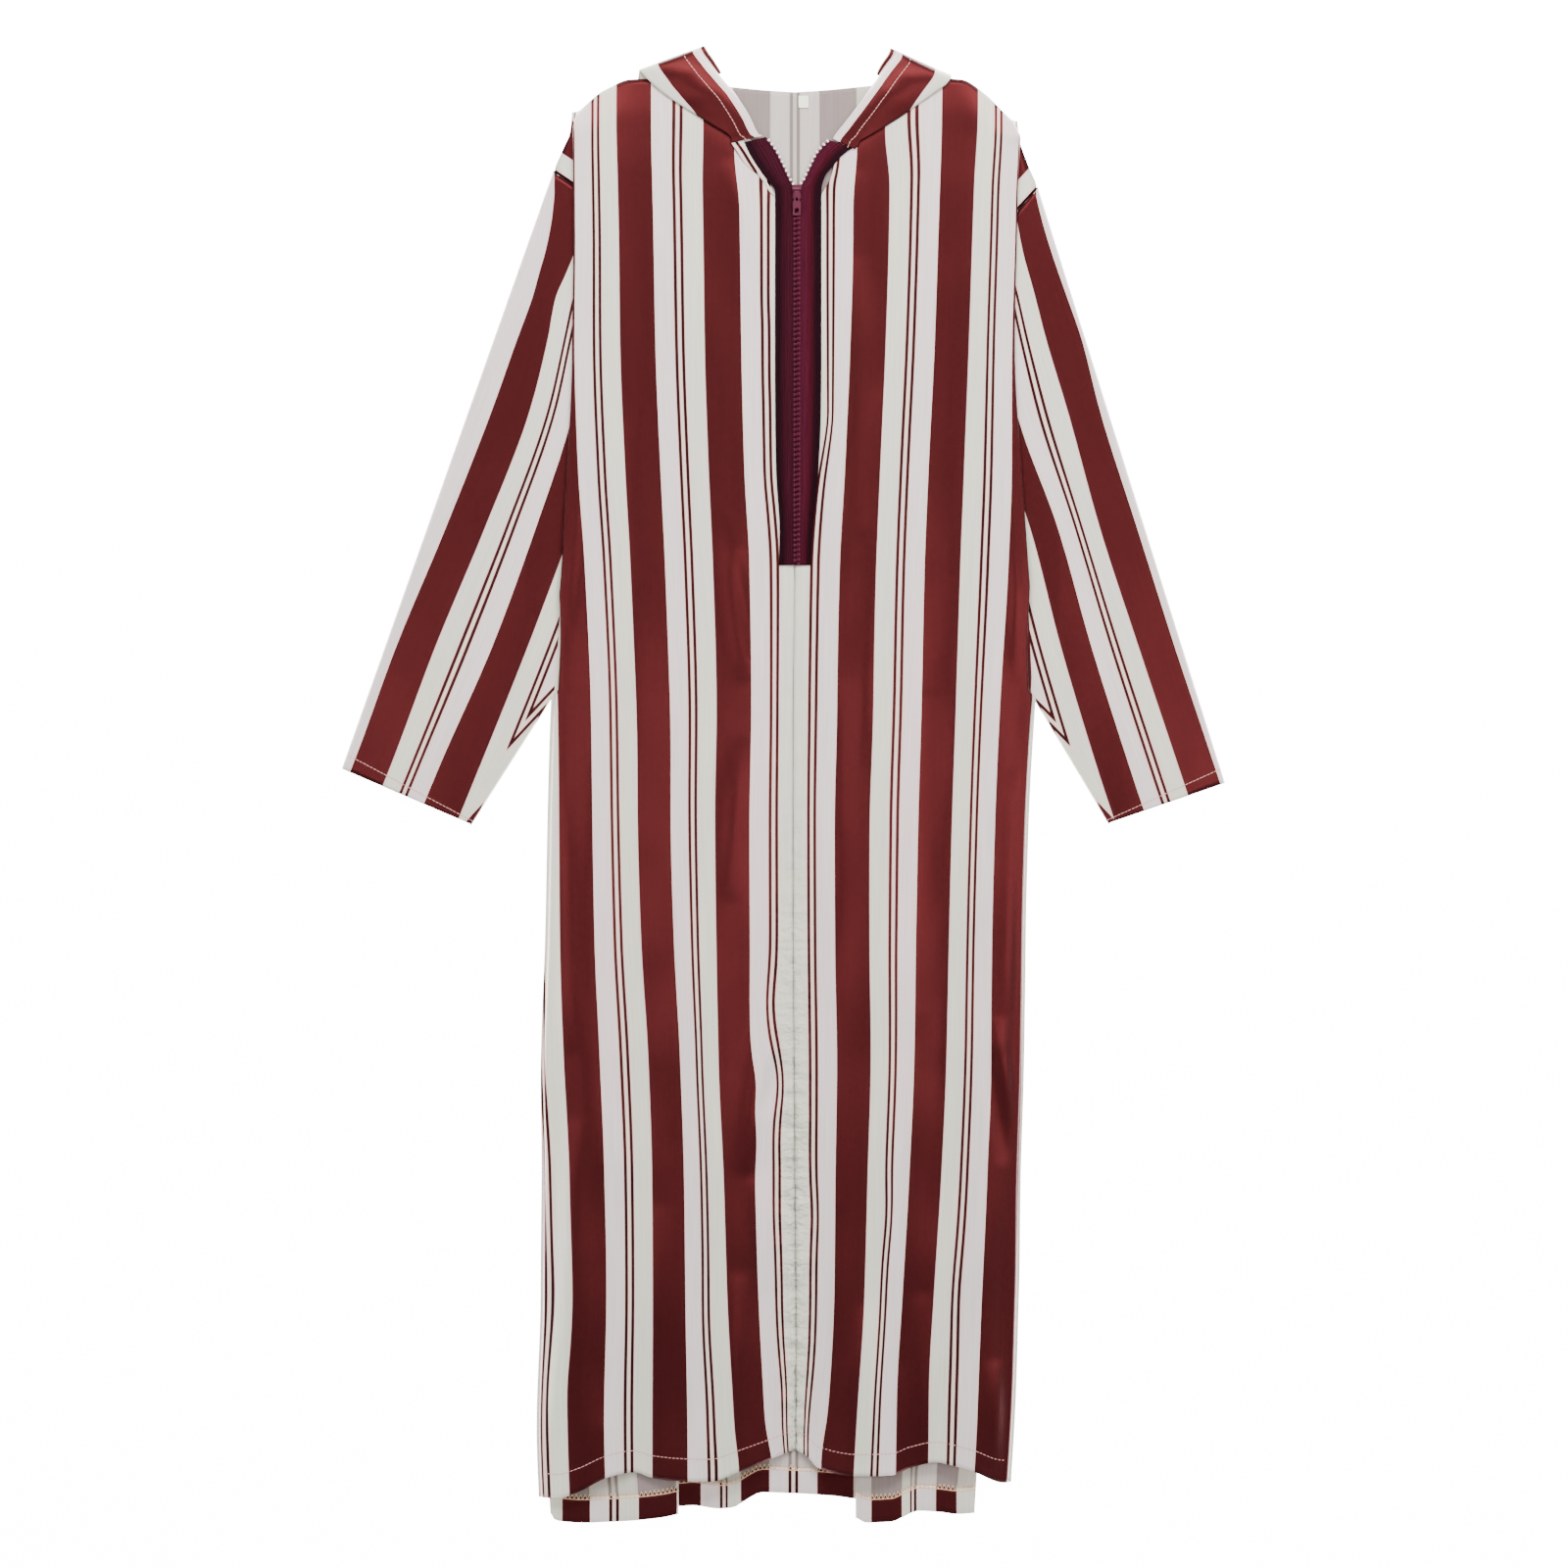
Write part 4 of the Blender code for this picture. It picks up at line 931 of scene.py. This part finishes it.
def add_sleeve(side, cloth, thread):
    seam = [(x, drop + SEAM_GAP) for drop, x in SEAM_ROWS[side][SHOULDER_END:]]
    lengths = [0.0]
    for (x0, d0), (x1, d1) in zip(seam, seam[1:]):
        lengths.append(lengths[-1] + math.hypot(x1 - x0, d1 - d0))
    total = lengths[-1]

    def seam_point(share):
        at = share * total
        i = min(len(lengths) - 2, bisect.bisect_right(lengths, at) - 1)
        t = (at - lengths[i]) / (lengths[i + 1] - lengths[i])
        return [seam[i][k] + (seam[i + 1][k] - seam[i][k]) * t for k in range(2)]

    (outer_x, outer_drop), (under_x, under_drop) = CUFF[side]
    shares = [share for span in SLEEVE_SHARES for share in spread(*span)]
    shares = sorted(set(shares + [length / total for length in lengths]))
    edge_x, edge_drop = seam_point(1.0)
    edge_length = math.hypot(under_x - edge_x, under_drop - edge_drop)
    inward = ((under_drop - edge_drop) / edge_length, -(under_x - edge_x) / edge_length)
    rows = []
    for step in spread(0.0, 1.0, SLEEVE_STEP / SLEEVE_LENGTH):
        upper, lower = [], []
        places = []
        for share in shares:
            x0, d0 = seam_point(share)
            places.append((x0 + (outer_x + (under_x - outer_x) * share - x0) * step,
                           d0 + (outer_drop + (under_drop - outer_drop) * share - d0) * step))
        for share, (x, drop) in zip(shares, places):
            bulge = SLEEVE_BULGE * math.sin(math.pi * share) * min(1.0, step / BULGE_START)
            # past the underarm seam the stripes are those of the sleeve's other edge, in reverse
            to_edge = (x - edge_x) * inward[0] + (drop - edge_drop) * inward[1]
            past = max(0.0, UNDERARM_SEAM[side] - to_edge)
            along = sleeve_grain(side, x + 2 * past * inward[0], drop + 2 * past * inward[1])
            calm = smoothstep(share / 0.08) * smoothstep((1 - share) / 0.08) * smoothstep(step / 0.05)
            soft = 0.9 * noise.noise((x * 0.02, drop * 0.011, 11.0 + side))
            upper.append((x, drop, ARMHOLE_Z + bulge + calm * soft, along + RED_START, drop))
            lower.append((x, drop, FLOOR_LAYER, RED_START - along - UNDER_SHIFT, drop))
        middle = (ARMHOLE_Z + FLOOR_LAYER) / 2
        (x0, d0), (x1, d1) = upper[0][:2], upper[-1][:2]
        outer = (x0 + OUTER_ROUND[0], d0 + OUTER_ROUND[1], middle, upper[0][3] - 1.5, d0)
        under = (x1 + UNDER_ROUND[0], d1 + UNDER_ROUND[1], middle, upper[-1][3] + 1.5, d1)
        rows.append(lower + [under] + upper[::-1] + [outer])
    name = "sleeve_" + SIDES[side]
    sheet = add_cloth(name + "_cloth", side, rows, [cloth["right"], cloth["wrong"]], [name], closed=True)
    cuff = rows[-1 - round(CUFF_STITCH / SLEEVE_STEP)][len(shares) + 1:-1]
    add_stitches(name + "_topstitch", side, on_surface(cuff), thread)


def add_hood_hem(name, side, edge, cloth):
    """The other layer of the hood's hem, which shows past its front edge near the top."""
    rows = []
    for i, (x, drop, z) in enumerate(edge):
        reach = HOOD_HEM * math.sin(math.pi * (i + 0.5) / len(edge)) ** 0.25
        rows.append([(x - reach * share, drop - 0.6 * reach * share, z - 1.6 - 0.3 * share,
                      RED_START + PAIR_MIDDLE - PAIR_HALF + HOOD_HEM * (share - 0.55), drop)
                     for share in (-1.0, -0.5, 0.0, 0.25, 0.5, 0.75, 1.0)])
    strip = add_cloth(name + "_hem", side, rows[::-1], [cloth["right"]], [])


def add_hood(side, cloth, thread):
    rows, stitches, edge = [], [], []
    keys = list(range(-1, len(HOOD_ROWS)))
    shape = [(*HOOD_ENDS[side], *HOOD_ROWS[0][4:])] + HOOD_ROWS
    lanes = [curve([(k, row[i]) for k, row in zip(keys, shape)]) for i in range(6)]
    lie = columns(HOOD_LIE[side], ("row", "front_out", "front_down", "outer_out", "outer_down"))
    folded = float(HOOD_FOLDED - 1)
    for at in spread(-1.0, folded, 0.16) + spread(folded, float(keys[-1]), 0.3)[1:]:
        front_x, front_drop, outer_x, outer_drop, z, crown = [lane(at) for lane in lanes]
        front_x += lie["front_out"](at)
        front_drop += lie["front_down"](at)
        outer_x += lie["outer_out"](at)
        outer_drop += lie["outer_down"](at)
        width = math.hypot(outer_x - front_x, outer_drop - front_drop)

        def place(share):
            return (front_x + (outer_x - front_x) * share, front_drop + (outer_drop - front_drop) * share,
                    z + crown * math.sin(math.pi * share ** HOOD_ROUNDING))

        rows.append([(*place(share), RED_START - HOOD_WHITE + width * share, front_drop)
                     for share in spread(0.0, 1.0, 0.05)[::-1]])
        if at <= HOOD_STITCHED:
            x, drop, height = place(min(1.0, HOOD_STITCH / width))
            stitches.append((x, drop, height + SHELL / 2))
        if HOOD_PEEK[0] <= at <= HOOD_PEEK[1]:
            edge.append(place(0.0))
    name = "hood_" + SIDES[side]
    add_stitches(name + "_topstitch", side, stitches, thread)
    add_hood_hem(name, side, edge, cloth)
    sheet = add_cloth(name + "_cloth", side, rows, [cloth["right"], cloth["wrong"]], [name])


def tape_place(side, at, share):
    out_x, out_drop, in_x, in_drop = [lane(at) for lane in TAPES[side]]
    drop = in_drop + (out_drop - in_drop) * share
    x = in_x + (out_x - in_x) * share
    z = height_across((out_drop + in_drop) / 2)(TAPE_PLACE) + TAPE_RISE
    return x, drop, z


def add_tape(side, tape):
    rows = []
    for at in spread(0.0, float(len(TAPE_ROWS[side]) - 1), 0.06):
        row = []
        under = 1.4 + 1.7 * smoothstep((at - CHAIN_START) / 0.4)
        out_x, _, in_x, _ = [lane(at) for lane in TAPES[side]]
        for share in [-under / (out_x - in_x)] + spread(0.0, 1.0, 1 / (RIBS * 4)):
            x, drop, z = tape_place(side, at, share)
            rib = RIB_HEIGHT * math.cos(2 * math.pi * share * RIBS) * (0.4 if share > 0.75 else 1.0)
            row.append((x, drop, z + rib, share, drop))
        rows.append(row)
    name = "placket_" + SIDES[side]
    sheet = add_cloth(name + "_tape", side, rows, [tape], [name])


def add_teeth(side, resin, painted_glint):
    """Moulded teeth of one side on their cord, from the neck to the end stop."""
    path = []
    for at in spread(0.0, float(len(TAPE_ROWS[side]) - 1), 0.05):
        x, drop, z = tape_place(side, at, 0.0)
        path.append(robe_mm(side, x - SEAM_GAP - TOOTH_WIDTH / 2, drop, z))
    solids, painted_glint_teeth = [], []
    offset = TOOTH_PITCH / 2 if side == LEFT else 0.0
    for (x, y, z), (ux, uy) in along_path(path, TOOTH_PITCH, 1.2 + offset):
        # the middle of the chain lies to the right of the left teeth and to the left of the right ones
        inward = (side * uy, -side * ux)
        centre = (x + inward[0] * TOOTH_REACH / 2, y + inward[1] * TOOTH_REACH / 2)
        tooth = block(centre, (ux, uy), TOOTH_LENGTH, TOOTH_WIDTH + TOOTH_REACH, z - TOOTH_THICK / 2,
                      z + TOOTH_THICK / 2, 0.5, 0.3)
        # Open teeth are painted near white as a glint; the rest keep the wine resin.
        (painted_glint_teeth if y > SHOULDER_Y - OPEN_END else solids).append(tooth)
        root = (x - inward[0] * 0.9, y - inward[1] * 0.9)
        solids.append(block(root, (ux, uy), TOOTH_LENGTH * 1.35, 0.9, z - TOOTH_THICK / 2,
                            z + TOOTH_THICK / 2 + 0.1))
    for (x, y, z), (ux, uy) in along_path(path, 2.0):
        inward = (side * uy, -side * ux)
        centre = (x - inward[0] * (TOOTH_WIDTH / 2 - 0.4), y - inward[1] * (TOOTH_WIDTH / 2 - 0.4))
        solids.append(block(centre, (ux, uy), 2.1, 0.8, z - 0.8, z + 0.6))
    painted_glint_faces = sum(len(faces) for _, faces in painted_glint_teeth)
    teeth = join_solids("zip_teeth_%s_moulded" % SIDES[side], painted_glint_teeth + solids, resin,
                        light=painted_glint, painted_glint_faces=painted_glint_faces)
    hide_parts("zip_teeth_" + SIDES[side])


def plate_mesh(outlines, thickness, rounding=0.25):
    """Flat plate with rounded edges; every outline after the first is a hole."""
    data = bpy.data.curves.new("plate", "CURVE")
    data.dimensions = "2D"
    data.fill_mode = "BOTH"
    data.extrude = (thickness / 2 - rounding) * MM
    data.bevel_depth = rounding * MM
    data.bevel_resolution = 2
    data.offset = -rounding * MM
    for outline in outlines:
        spline = data.splines.new("POLY")
        spline.points.add(len(outline) - 1)
        for point, (x, y) in zip(spline.points, outline):
            point.co = (x * MM, y * MM, 0.0, 1.0)
        spline.use_cyclic_u = True
    holder = bpy.data.objects.new("plate", data)
    bpy.context.scene.collection.objects.link(holder)
    graph = bpy.context.evaluated_depsgraph_get()
    mesh = bpy.data.meshes.new_from_object(holder.evaluated_get(graph))
    corners = [tuple(vertex.co / MM) for vertex in mesh.vertices]
    faces = [tuple(face.vertices) for face in mesh.polygons]
    bpy.data.meshes.remove(mesh)
    bpy.data.objects.remove(holder)
    bpy.data.curves.remove(data)
    return corners, faces


def rounded(half_width, low, high, radius, steps=5):
    """Rectangle with rounded corners, as an outline."""
    outline = []
    for cx, cy, first in ((half_width - radius, high - radius, 0), (radius - half_width, high - radius, 90),
                          (radius - half_width, low + radius, 180), (half_width - radius, low + radius, 270)):
        for i in range(steps + 1):
            angle = math.radians(first + 90 * i / steps)
            outline.append((cx + radius * math.cos(angle), cy + radius * math.sin(angle)))
    return outline


def circle(radius, cx=0.0, cy=0.0, steps=24):
    return [(cx + radius * math.cos(2 * math.pi * i / steps), cy + radius * math.sin(2 * math.pi * i / steps))
            for i in range(steps)]


def moved(solid, place, droop=0.0, turn=None):
    """Solid turned about X by an angle in degrees, or stood on its edge, and set down at a place."""
    corners, faces = solid
    made = []
    for x, y, z in corners:
        if turn == "side":
            x, y, z = z, x, y
        angle = math.radians(droop)
        made.append((place[0] + x, place[1] + y * math.cos(angle) - z * math.sin(angle),
                     place[2] + y * math.sin(angle) + z * math.cos(angle)))
    return made, faces


def add_slider(paint):
    """Slider: two waisted plates on a post, and two ears that hold the pin of the pull tab."""
    x = CENTRE_X + CHAIN_X
    y = SHOULDER_Y - SLIDER_DROP
    width, length = SLIDER_SIZE
    half = width / 2
    right = [(half * 0.72, -length / 2), (half * 0.86, -length / 2 + 1.2), (half * 0.8, -1.0),
             (half * 0.96, 2.2), (half, length / 2 - 2.4), (half * 0.9, length / 2 - 0.9),
             (half * 0.62, length / 2 - 0.1)]
    left = [(-x, y) for x, y in right[::-1]]
    outline = left[-1:] + right + [(0.0, length / 2)] + left[:-1]
    plate = plate_mesh([outline], PLATE)
    solids = [moved(plate, (x, y, ZIP_Z + way * (PLATE_GAP + PLATE / 2))) for way in (1, -1)]
    solids.append(block((x, y + length / 2 - POST_INSET), (0.0, 1.0), POST[1], POST[0],
                        ZIP_Z - PLATE_GAP - PLATE / 2, ZIP_Z + PLATE_GAP + PLATE / 2, 0.9, 0.1))
    pin_y = SHOULDER_Y - PIN_DROP
    top = ZIP_Z + PLATE_GAP + PLATE
    angles = [math.radians(angle) for angle in range(0, 181, 20)]
    arch = [(EAR[1] / 2 * math.cos(angle), 2.0 + (EAR[2] - 2.2) * math.sin(angle)) for angle in angles]
    ear = plate_mesh([[(-EAR[1] / 2, -EAR_SINK), (EAR[1] / 2, -EAR_SINK)] + arch], EAR[0], 0.18)
    solids += [moved(ear, (x + side * EAR_SPACING / 2, pin_y, top), turn="side") for side in SIDES]
    pin = plate_mesh([circle(PIN_RADIUS)], EAR_SPACING, 0.1)
    solids.append(moved(pin, (x, pin_y, top + PIN_RISE), turn="side"))
    slider = join_solids("zip_slider_body", solids, paint)
    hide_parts("zip_slider")


def add_tab(paint):
    """Pull tab with an eye on the slider's pin and an oblong hole in its plate."""
    place = (CENTRE_X + CHAIN_X, SHOULDER_Y - PIN_DROP, ZIP_Z + PLATE_GAP + PLATE + PIN_RISE)
    _, length, thick = TAB_SIZE
    neck = length * TAB_NECK_SHARE
    plate = length * TAB_PLATE_SHARE
    grip = plate_mesh([rounded(TAB_WIDE / 2, -length, -length + plate, 1.2),
                       rounded(TAB_WINDOW[0] / 2, -length + 1.5, -length + 1.5 + TAB_WINDOW[1], 0.6)], thick)
    stem = plate_mesh([rounded(TAB_SIZE[0] / 2, -neck, -TAB_HOLE - 0.35, 0.4),
                       rounded(TAB_SLOT[0] / 2, -neck + 0.3, -neck + 0.3 + TAB_SLOT[1], 0.5)], thick)
    eye = plate_mesh([circle(TAB_EYE), circle(TAB_HOLE)], TAB_SIZE[0], 0.15)
    solids = [moved(grip, place, TAB_DROOP), moved(stem, place, TAB_DROOP), moved(eye, place, turn="side")]
    tab = join_solids("zip_tab_pull", solids, paint, "pull_tab")
    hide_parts("zip_tab")


def add_armhole_seam(side, thread):
    """Dark seam where the sleeve's head meets the front, past the fold."""
    points = [(x + SEAM_GAP / 2, drop, ARMHOLE_Z) for drop, x in SEAM_ROWS[side][SHOULDER_END:ARMHOLE_ROWS]]
    path = [robe_mm(side, *point) for point in points]
    solids = [block(place, way, 2.4, 1.5, ARMHOLE_Z - 1.5, ARMHOLE_Z + 0.35, 0.7, 0.35)
              for place, way in along_path(path, 2.0)]
    join_solids("armhole_seam_" + SIDES[side], solids, thread)


def add_turned_edge(cloth):
    """Left front's edge, turned back beside the top of the zip's tape."""
    lanes = [curve([(i, row[lane]) for i, row in enumerate(TURNED_ROWS)]) for lane in range(5)]
    rows = []
    for at in spread(0.0, len(TURNED_ROWS) - 1.0, 0.5):
        in_x, in_drop, out_x, out_drop, line = [lane(at) for lane in lanes]
        width = math.hypot(out_x - in_x, out_drop - in_drop)
        z = height_across((in_drop + out_drop) / 2)(TAPE_PLACE) + TAPE_RISE - 0.3
        rows.append([(in_x + (out_x - in_x) * share, in_drop + (out_drop - in_drop) * share,
                      z + TURNED_ROUND * math.sin(math.pi * share) - TURNED_ROUND * share,
                      PAIR_GRAIN + PERIOD - PAIR_HALF + width * share - line, in_drop)
                     for share in spread(0.0, 1.0, 0.125)])
    strip = add_cloth("front_left_turned_edge", LEFT, rows, [cloth["right"]], [])


# Materials

class Surface:
    """A material, with the few kinds of node that the robe's materials are made of."""

    def __init__(self, name):
        self.material = bpy.data.materials.new(name)
        self.material.use_nodes = True
        self.nodes = self.material.node_tree.nodes
        self.shader = self.nodes["Principled BSDF"]

    def fill(self, node, values):
        """Sets a node's inputs, each to a value or to another node's output."""
        for key, value in values.items():
            if isinstance(value, bpy.types.NodeSocket):
                self.material.node_tree.links.new(value, node.inputs[key])
            else:
                node.inputs[key].default_value = value
        return node.outputs

    def grain(self):
        """The cloth's grain as a vector, the distance along the cloth and the drop."""
        node = self.nodes.new("ShaderNodeAttribute")
        node.attribute_name = "grain"
        vector = node.outputs["Vector"]
        axes = self.fill(self.nodes.new("ShaderNodeSeparateXYZ"), {0: vector})
        return vector, axes[0], axes[1]

    def math(self, operation, *values):
        node = self.nodes.new("ShaderNodeMath")
        node.operation = operation
        return self.fill(node, dict(enumerate(values)))[0]

    def multiply(self, factor, first, second):
        """Product of two colours."""
        node = self.nodes.new("ShaderNodeMix")
        node.data_type = "RGBA"
        node.blend_type = "MULTIPLY"
        return self.fill(node, {0: factor, 6: first, 7: second})[2]

    def fade(self, value, start, end, first=0.0, last=1.0):
        node = self.nodes.new("ShaderNodeMapRange")
        return self.fill(node, {0: value, 1: start, 2: end, 3: first, 4: last})[0]

    def noise(self, place, stretch=None, detail=2.0, scale=1.0):
        if stretch:
            place = self.fill(self.nodes.new("ShaderNodeMapping"), {"Vector": place, "Scale": stretch})[0]
        texture = self.nodes.new("ShaderNodeTexNoise")
        return self.fill(texture, {"Vector": place, "Scale": scale, "Detail": detail})[0]

    def ramp(self, value, stops):
        node = self.nodes.new("ShaderNodeValToRGB")
        elements = node.color_ramp.elements
        elements.remove(elements[1])
        elements[0].position, elements[0].color = stops[0]
        for position, colour in stops[1:]:
            elements.new(position).color = colour
        return self.fill(node, {0: value})[0]

    def bump(self, height, strength, depth, normal=None):
        values = {"Height": height, "Strength": strength, "Distance": depth * MM}
        if normal is not None:
            values["Normal"] = normal
        return self.fill(self.nodes.new("ShaderNodeBump"), values)[0]

    def finish(self, colour, normal, roughness, gloss, tint):
        self.fill(self.shader, {"Base Color": colour, "Normal": normal, "Roughness": roughness,
                                "Specular IOR Level": gloss, "Specular Tint": tint})
        return self.material


def stripe_bands(colours):
    """Bands of the repeat from the start of a red stripe, each with the place where it ends."""
    first_line = PAIR_MIDDLE - PAIR_HALF - LINE / 2
    second_line = PAIR_MIDDLE + PAIR_HALF - LINE / 2
    order = [
        (OUTLINE, "outline"), (RED_WIDTH - OUTLINE, "red"), (RED_WIDTH, "outline"),
        (RED_WIDTH + HALO, "halo"),
        (first_line - HALO, "white_a"), (first_line, "halo"), (first_line + LINE, "line"),
        (second_line, "core"), (second_line + LINE, "line"), (second_line + LINE + HALO, "halo"),
        (PERIOD - HALO, "white_b"), (PERIOD, "halo"),
    ]
    return [(end, seen(*colours[name])) for end, name in order]


def seam_puckers(surface, grain, across, drop, normal):
    """Fine puckers along the seam below the zip, stronger lower down, fading to both sides."""
    wrinkles = surface.noise(grain, PUCKER_GRAIN, 3.0)
    beside = surface.fade(surface.math("ABSOLUTE", across), *PUCKER_FADE, 1.0, 0.0)
    share = surface.math("MULTIPLY", beside, surface.fade(drop, *PUCKER_DROPS))
    return surface.bump(surface.math("MULTIPLY", wrinkles, share), 1.0, PUCKER_DEPTH, normal)


def cloth_material(name, colours, shift=0.0, roughness=0.32, gloss=0.38, puckered=False):
    """Striped satin: the stripes follow the grain, which is the distance along the cloth and its length."""
    surface = Surface(name)
    grain, across, drop = surface.grain()
    distance = surface.math("ABSOLUTE", across) if shift else across
    start = surface.math("SUBTRACT", distance, shift or RED_START)
    place = surface.math("DIVIDE", surface.math("WRAP", start, PERIOD, 0.0), PERIOD)
    stops = []
    begin = 0.0
    for end, colour in stripe_bands(colours):
        stops += [((begin + EDGE_BLUR / 2) / PERIOD, colour), ((end - EDGE_BLUR / 2) / PERIOD, colour)]
        begin = end
    streaks = surface.ramp(surface.noise(grain, STREAK_GRAIN, 4.0), STREAK_TONES)
    patches = surface.ramp(surface.noise(grain, PATCH_GRAIN, 2.0), PATCH_TONES)
    streaked = surface.multiply(UNEVENNESS, surface.ramp(place, stops), streaks)
    colour = surface.multiply(UNEVENNESS, streaked, patches)
    normal = surface.bump(surface.noise(grain, WEAVE_GRAIN, 3.0), *WEAVE_BUMP)
    if puckered:
        normal = seam_puckers(surface, grain, across, drop, normal)
    return surface.finish(colour, normal, roughness, gloss, GLOSS_TINT)


def tape_material(name, lift):
    """Ribbed tape: plum where it catches the light, nearly black in the shadow at its outer edge."""
    surface = Surface(name)
    grain, across, _ = surface.grain()
    # Painted light and shade across the tape: lighter plum where the light falls, painted shadow nearly black
    # at its outer edge; lift paints its plum lighter still, as painted light.
    tones = [(0.0, (58 + lift, 15 + lift / 4, 28 + lift / 2)),
             (0.25, (66 + lift, 18 + lift / 4, 31 + lift / 2)), (0.5, (56 + lift, 15, 26)),
             (0.66, (40, 11, 19)), (0.76, (11, 6, 8)), (1.0, (9, 5, 7))]
    plum_painted_light_and_shade = surface.ramp(across, [(place, seen(*tone)) for place, tone in tones])
    streaks = surface.ramp(surface.noise(grain, TAPE_STREAK_GRAIN, 3.0), TAPE_STREAK_TONES)
    normal = surface.bump(surface.noise(grain, TAPE_WEAVE_GRAIN), *TAPE_BUMP)
    return surface.finish(surface.multiply(TAPE_UNEVENNESS, plum_painted_light_and_shade, streaks), normal, 0.5, 0.1, TAPE_TINT)


def plain_material(name, colour, roughness, grain, contrast, depth, gloss, tint):
    """One colour with an uneven tone and a fine surface, by the place on the robe."""
    surface = Surface(name)
    place = surface.nodes.new("ShaderNodeNewGeometry").outputs["Position"]
    speckle = surface.noise(place, detail=4.0, scale=grain)
    tones = [(at, tuple(min(1.0, value * share) for value in seen(*colour)[:3]) + (1.0,))
             for at, share in ((0.3, 1 - contrast), (0.7, 1 + contrast))]
    normal = surface.bump(speckle, PLAIN_BUMP, depth)
    return surface.finish(surface.ramp(speckle, tones), normal, roughness, gloss, tint)


def add_lights():
    for name, (place, target, size, power) in LIGHTS.items():
        light = bpy.data.lights.new(name, "AREA")
        light.shape = "RECTANGLE"
        light.size, light.size_y = size
        light.energy = power
        obj = bpy.data.objects.new(name, light)
        obj.location = place
        obj.rotation_euler = (Vector(target) - Vector(place)).to_track_quat("-Z", "Y").to_euler()
        bpy.context.scene.collection.objects.link(obj)
    studio = bpy.data.worlds.new("studio")
    studio.use_nodes = True
    background = studio.node_tree.nodes["Background"]
    background.inputs["Color"].default_value = WHITE
    background.inputs["Strength"].default_value = STUDIO_LIGHT
    bpy.context.scene.world = studio


def add_floor():
    mesh = bpy.data.meshes.new("floor")
    reach = FLOOR_REACH
    mesh.from_pydata([(-reach, -reach, 0), (reach, -reach, 0), (reach, reach, 0), (-reach, reach, 0)],
                     [], [(0, 1, 2, 3)])
    floor = bpy.data.objects.new("floor", mesh)
    bpy.context.scene.collection.objects.link(floor)
    paper = Surface("floor_paper")
    paper.fill(paper.shader, {"Base Color": FLOOR_COLOUR, "Roughness": 0.9, "Emission Color": WHITE,
                              "Emission Strength": FLOOR_GLOW})
    mesh.materials.append(paper.material)


def add_camera():
    data = bpy.data.cameras.new("camera")
    data.lens = CAMERA_LENS
    data.sensor_width = CAMERA_SENSOR
    camera = bpy.data.objects.new("camera", data)
    camera.location = CAMERA_PLACE
    bpy.context.scene.collection.objects.link(camera)
    bpy.context.scene.camera = camera


def main():
    add_camera()
    add_floor()
    add_lights()
    inside = PERIOD - PAIR_MIDDLE
    cloth = {
        "right": cloth_material("striped_satin_right", PRINT, puckered=True),
        "wrong": cloth_material("striped_satin_wrong", GHOST, 0.0, *GHOST_SURFACE),
        "right_back": cloth_material("striped_satin_back", PRINT, inside),
        "wrong_back": cloth_material("striped_satin_inside", GHOST, inside, *GHOST_SURFACE),
    }
    tapes = {side: tape_material("wine_tape_painted_light_and_shade_" + SIDES[side], TAPE_PAINTED_LIGHT[side]) for side in SIDES}
    plain = {name: plain_material(name, *values) for name, values in PLAIN.items()}
    add_back(cloth, plain["cream_thread"])
    for side in SIDES:
        add_front(side, cloth, plain["pink_thread"])
        add_sleeve(side, cloth, plain["pink_thread"])
        add_hood(side, cloth, plain["pink_thread"])
        add_tape(side, tapes[side])
        add_teeth(side, plain["wine_resin_teeth"], plain["wine_resin_painted_glint"])
        add_armhole_seam(side, plain["dark_seam"])
    add_turned_edge(cloth)
    add_slider(plain["slider_paint_wine"])
    add_tab(plain["slider_paint_wine"])
    bpy.data.objects["neck_label"].material_slots[0].material = plain["label_weave"]


main()
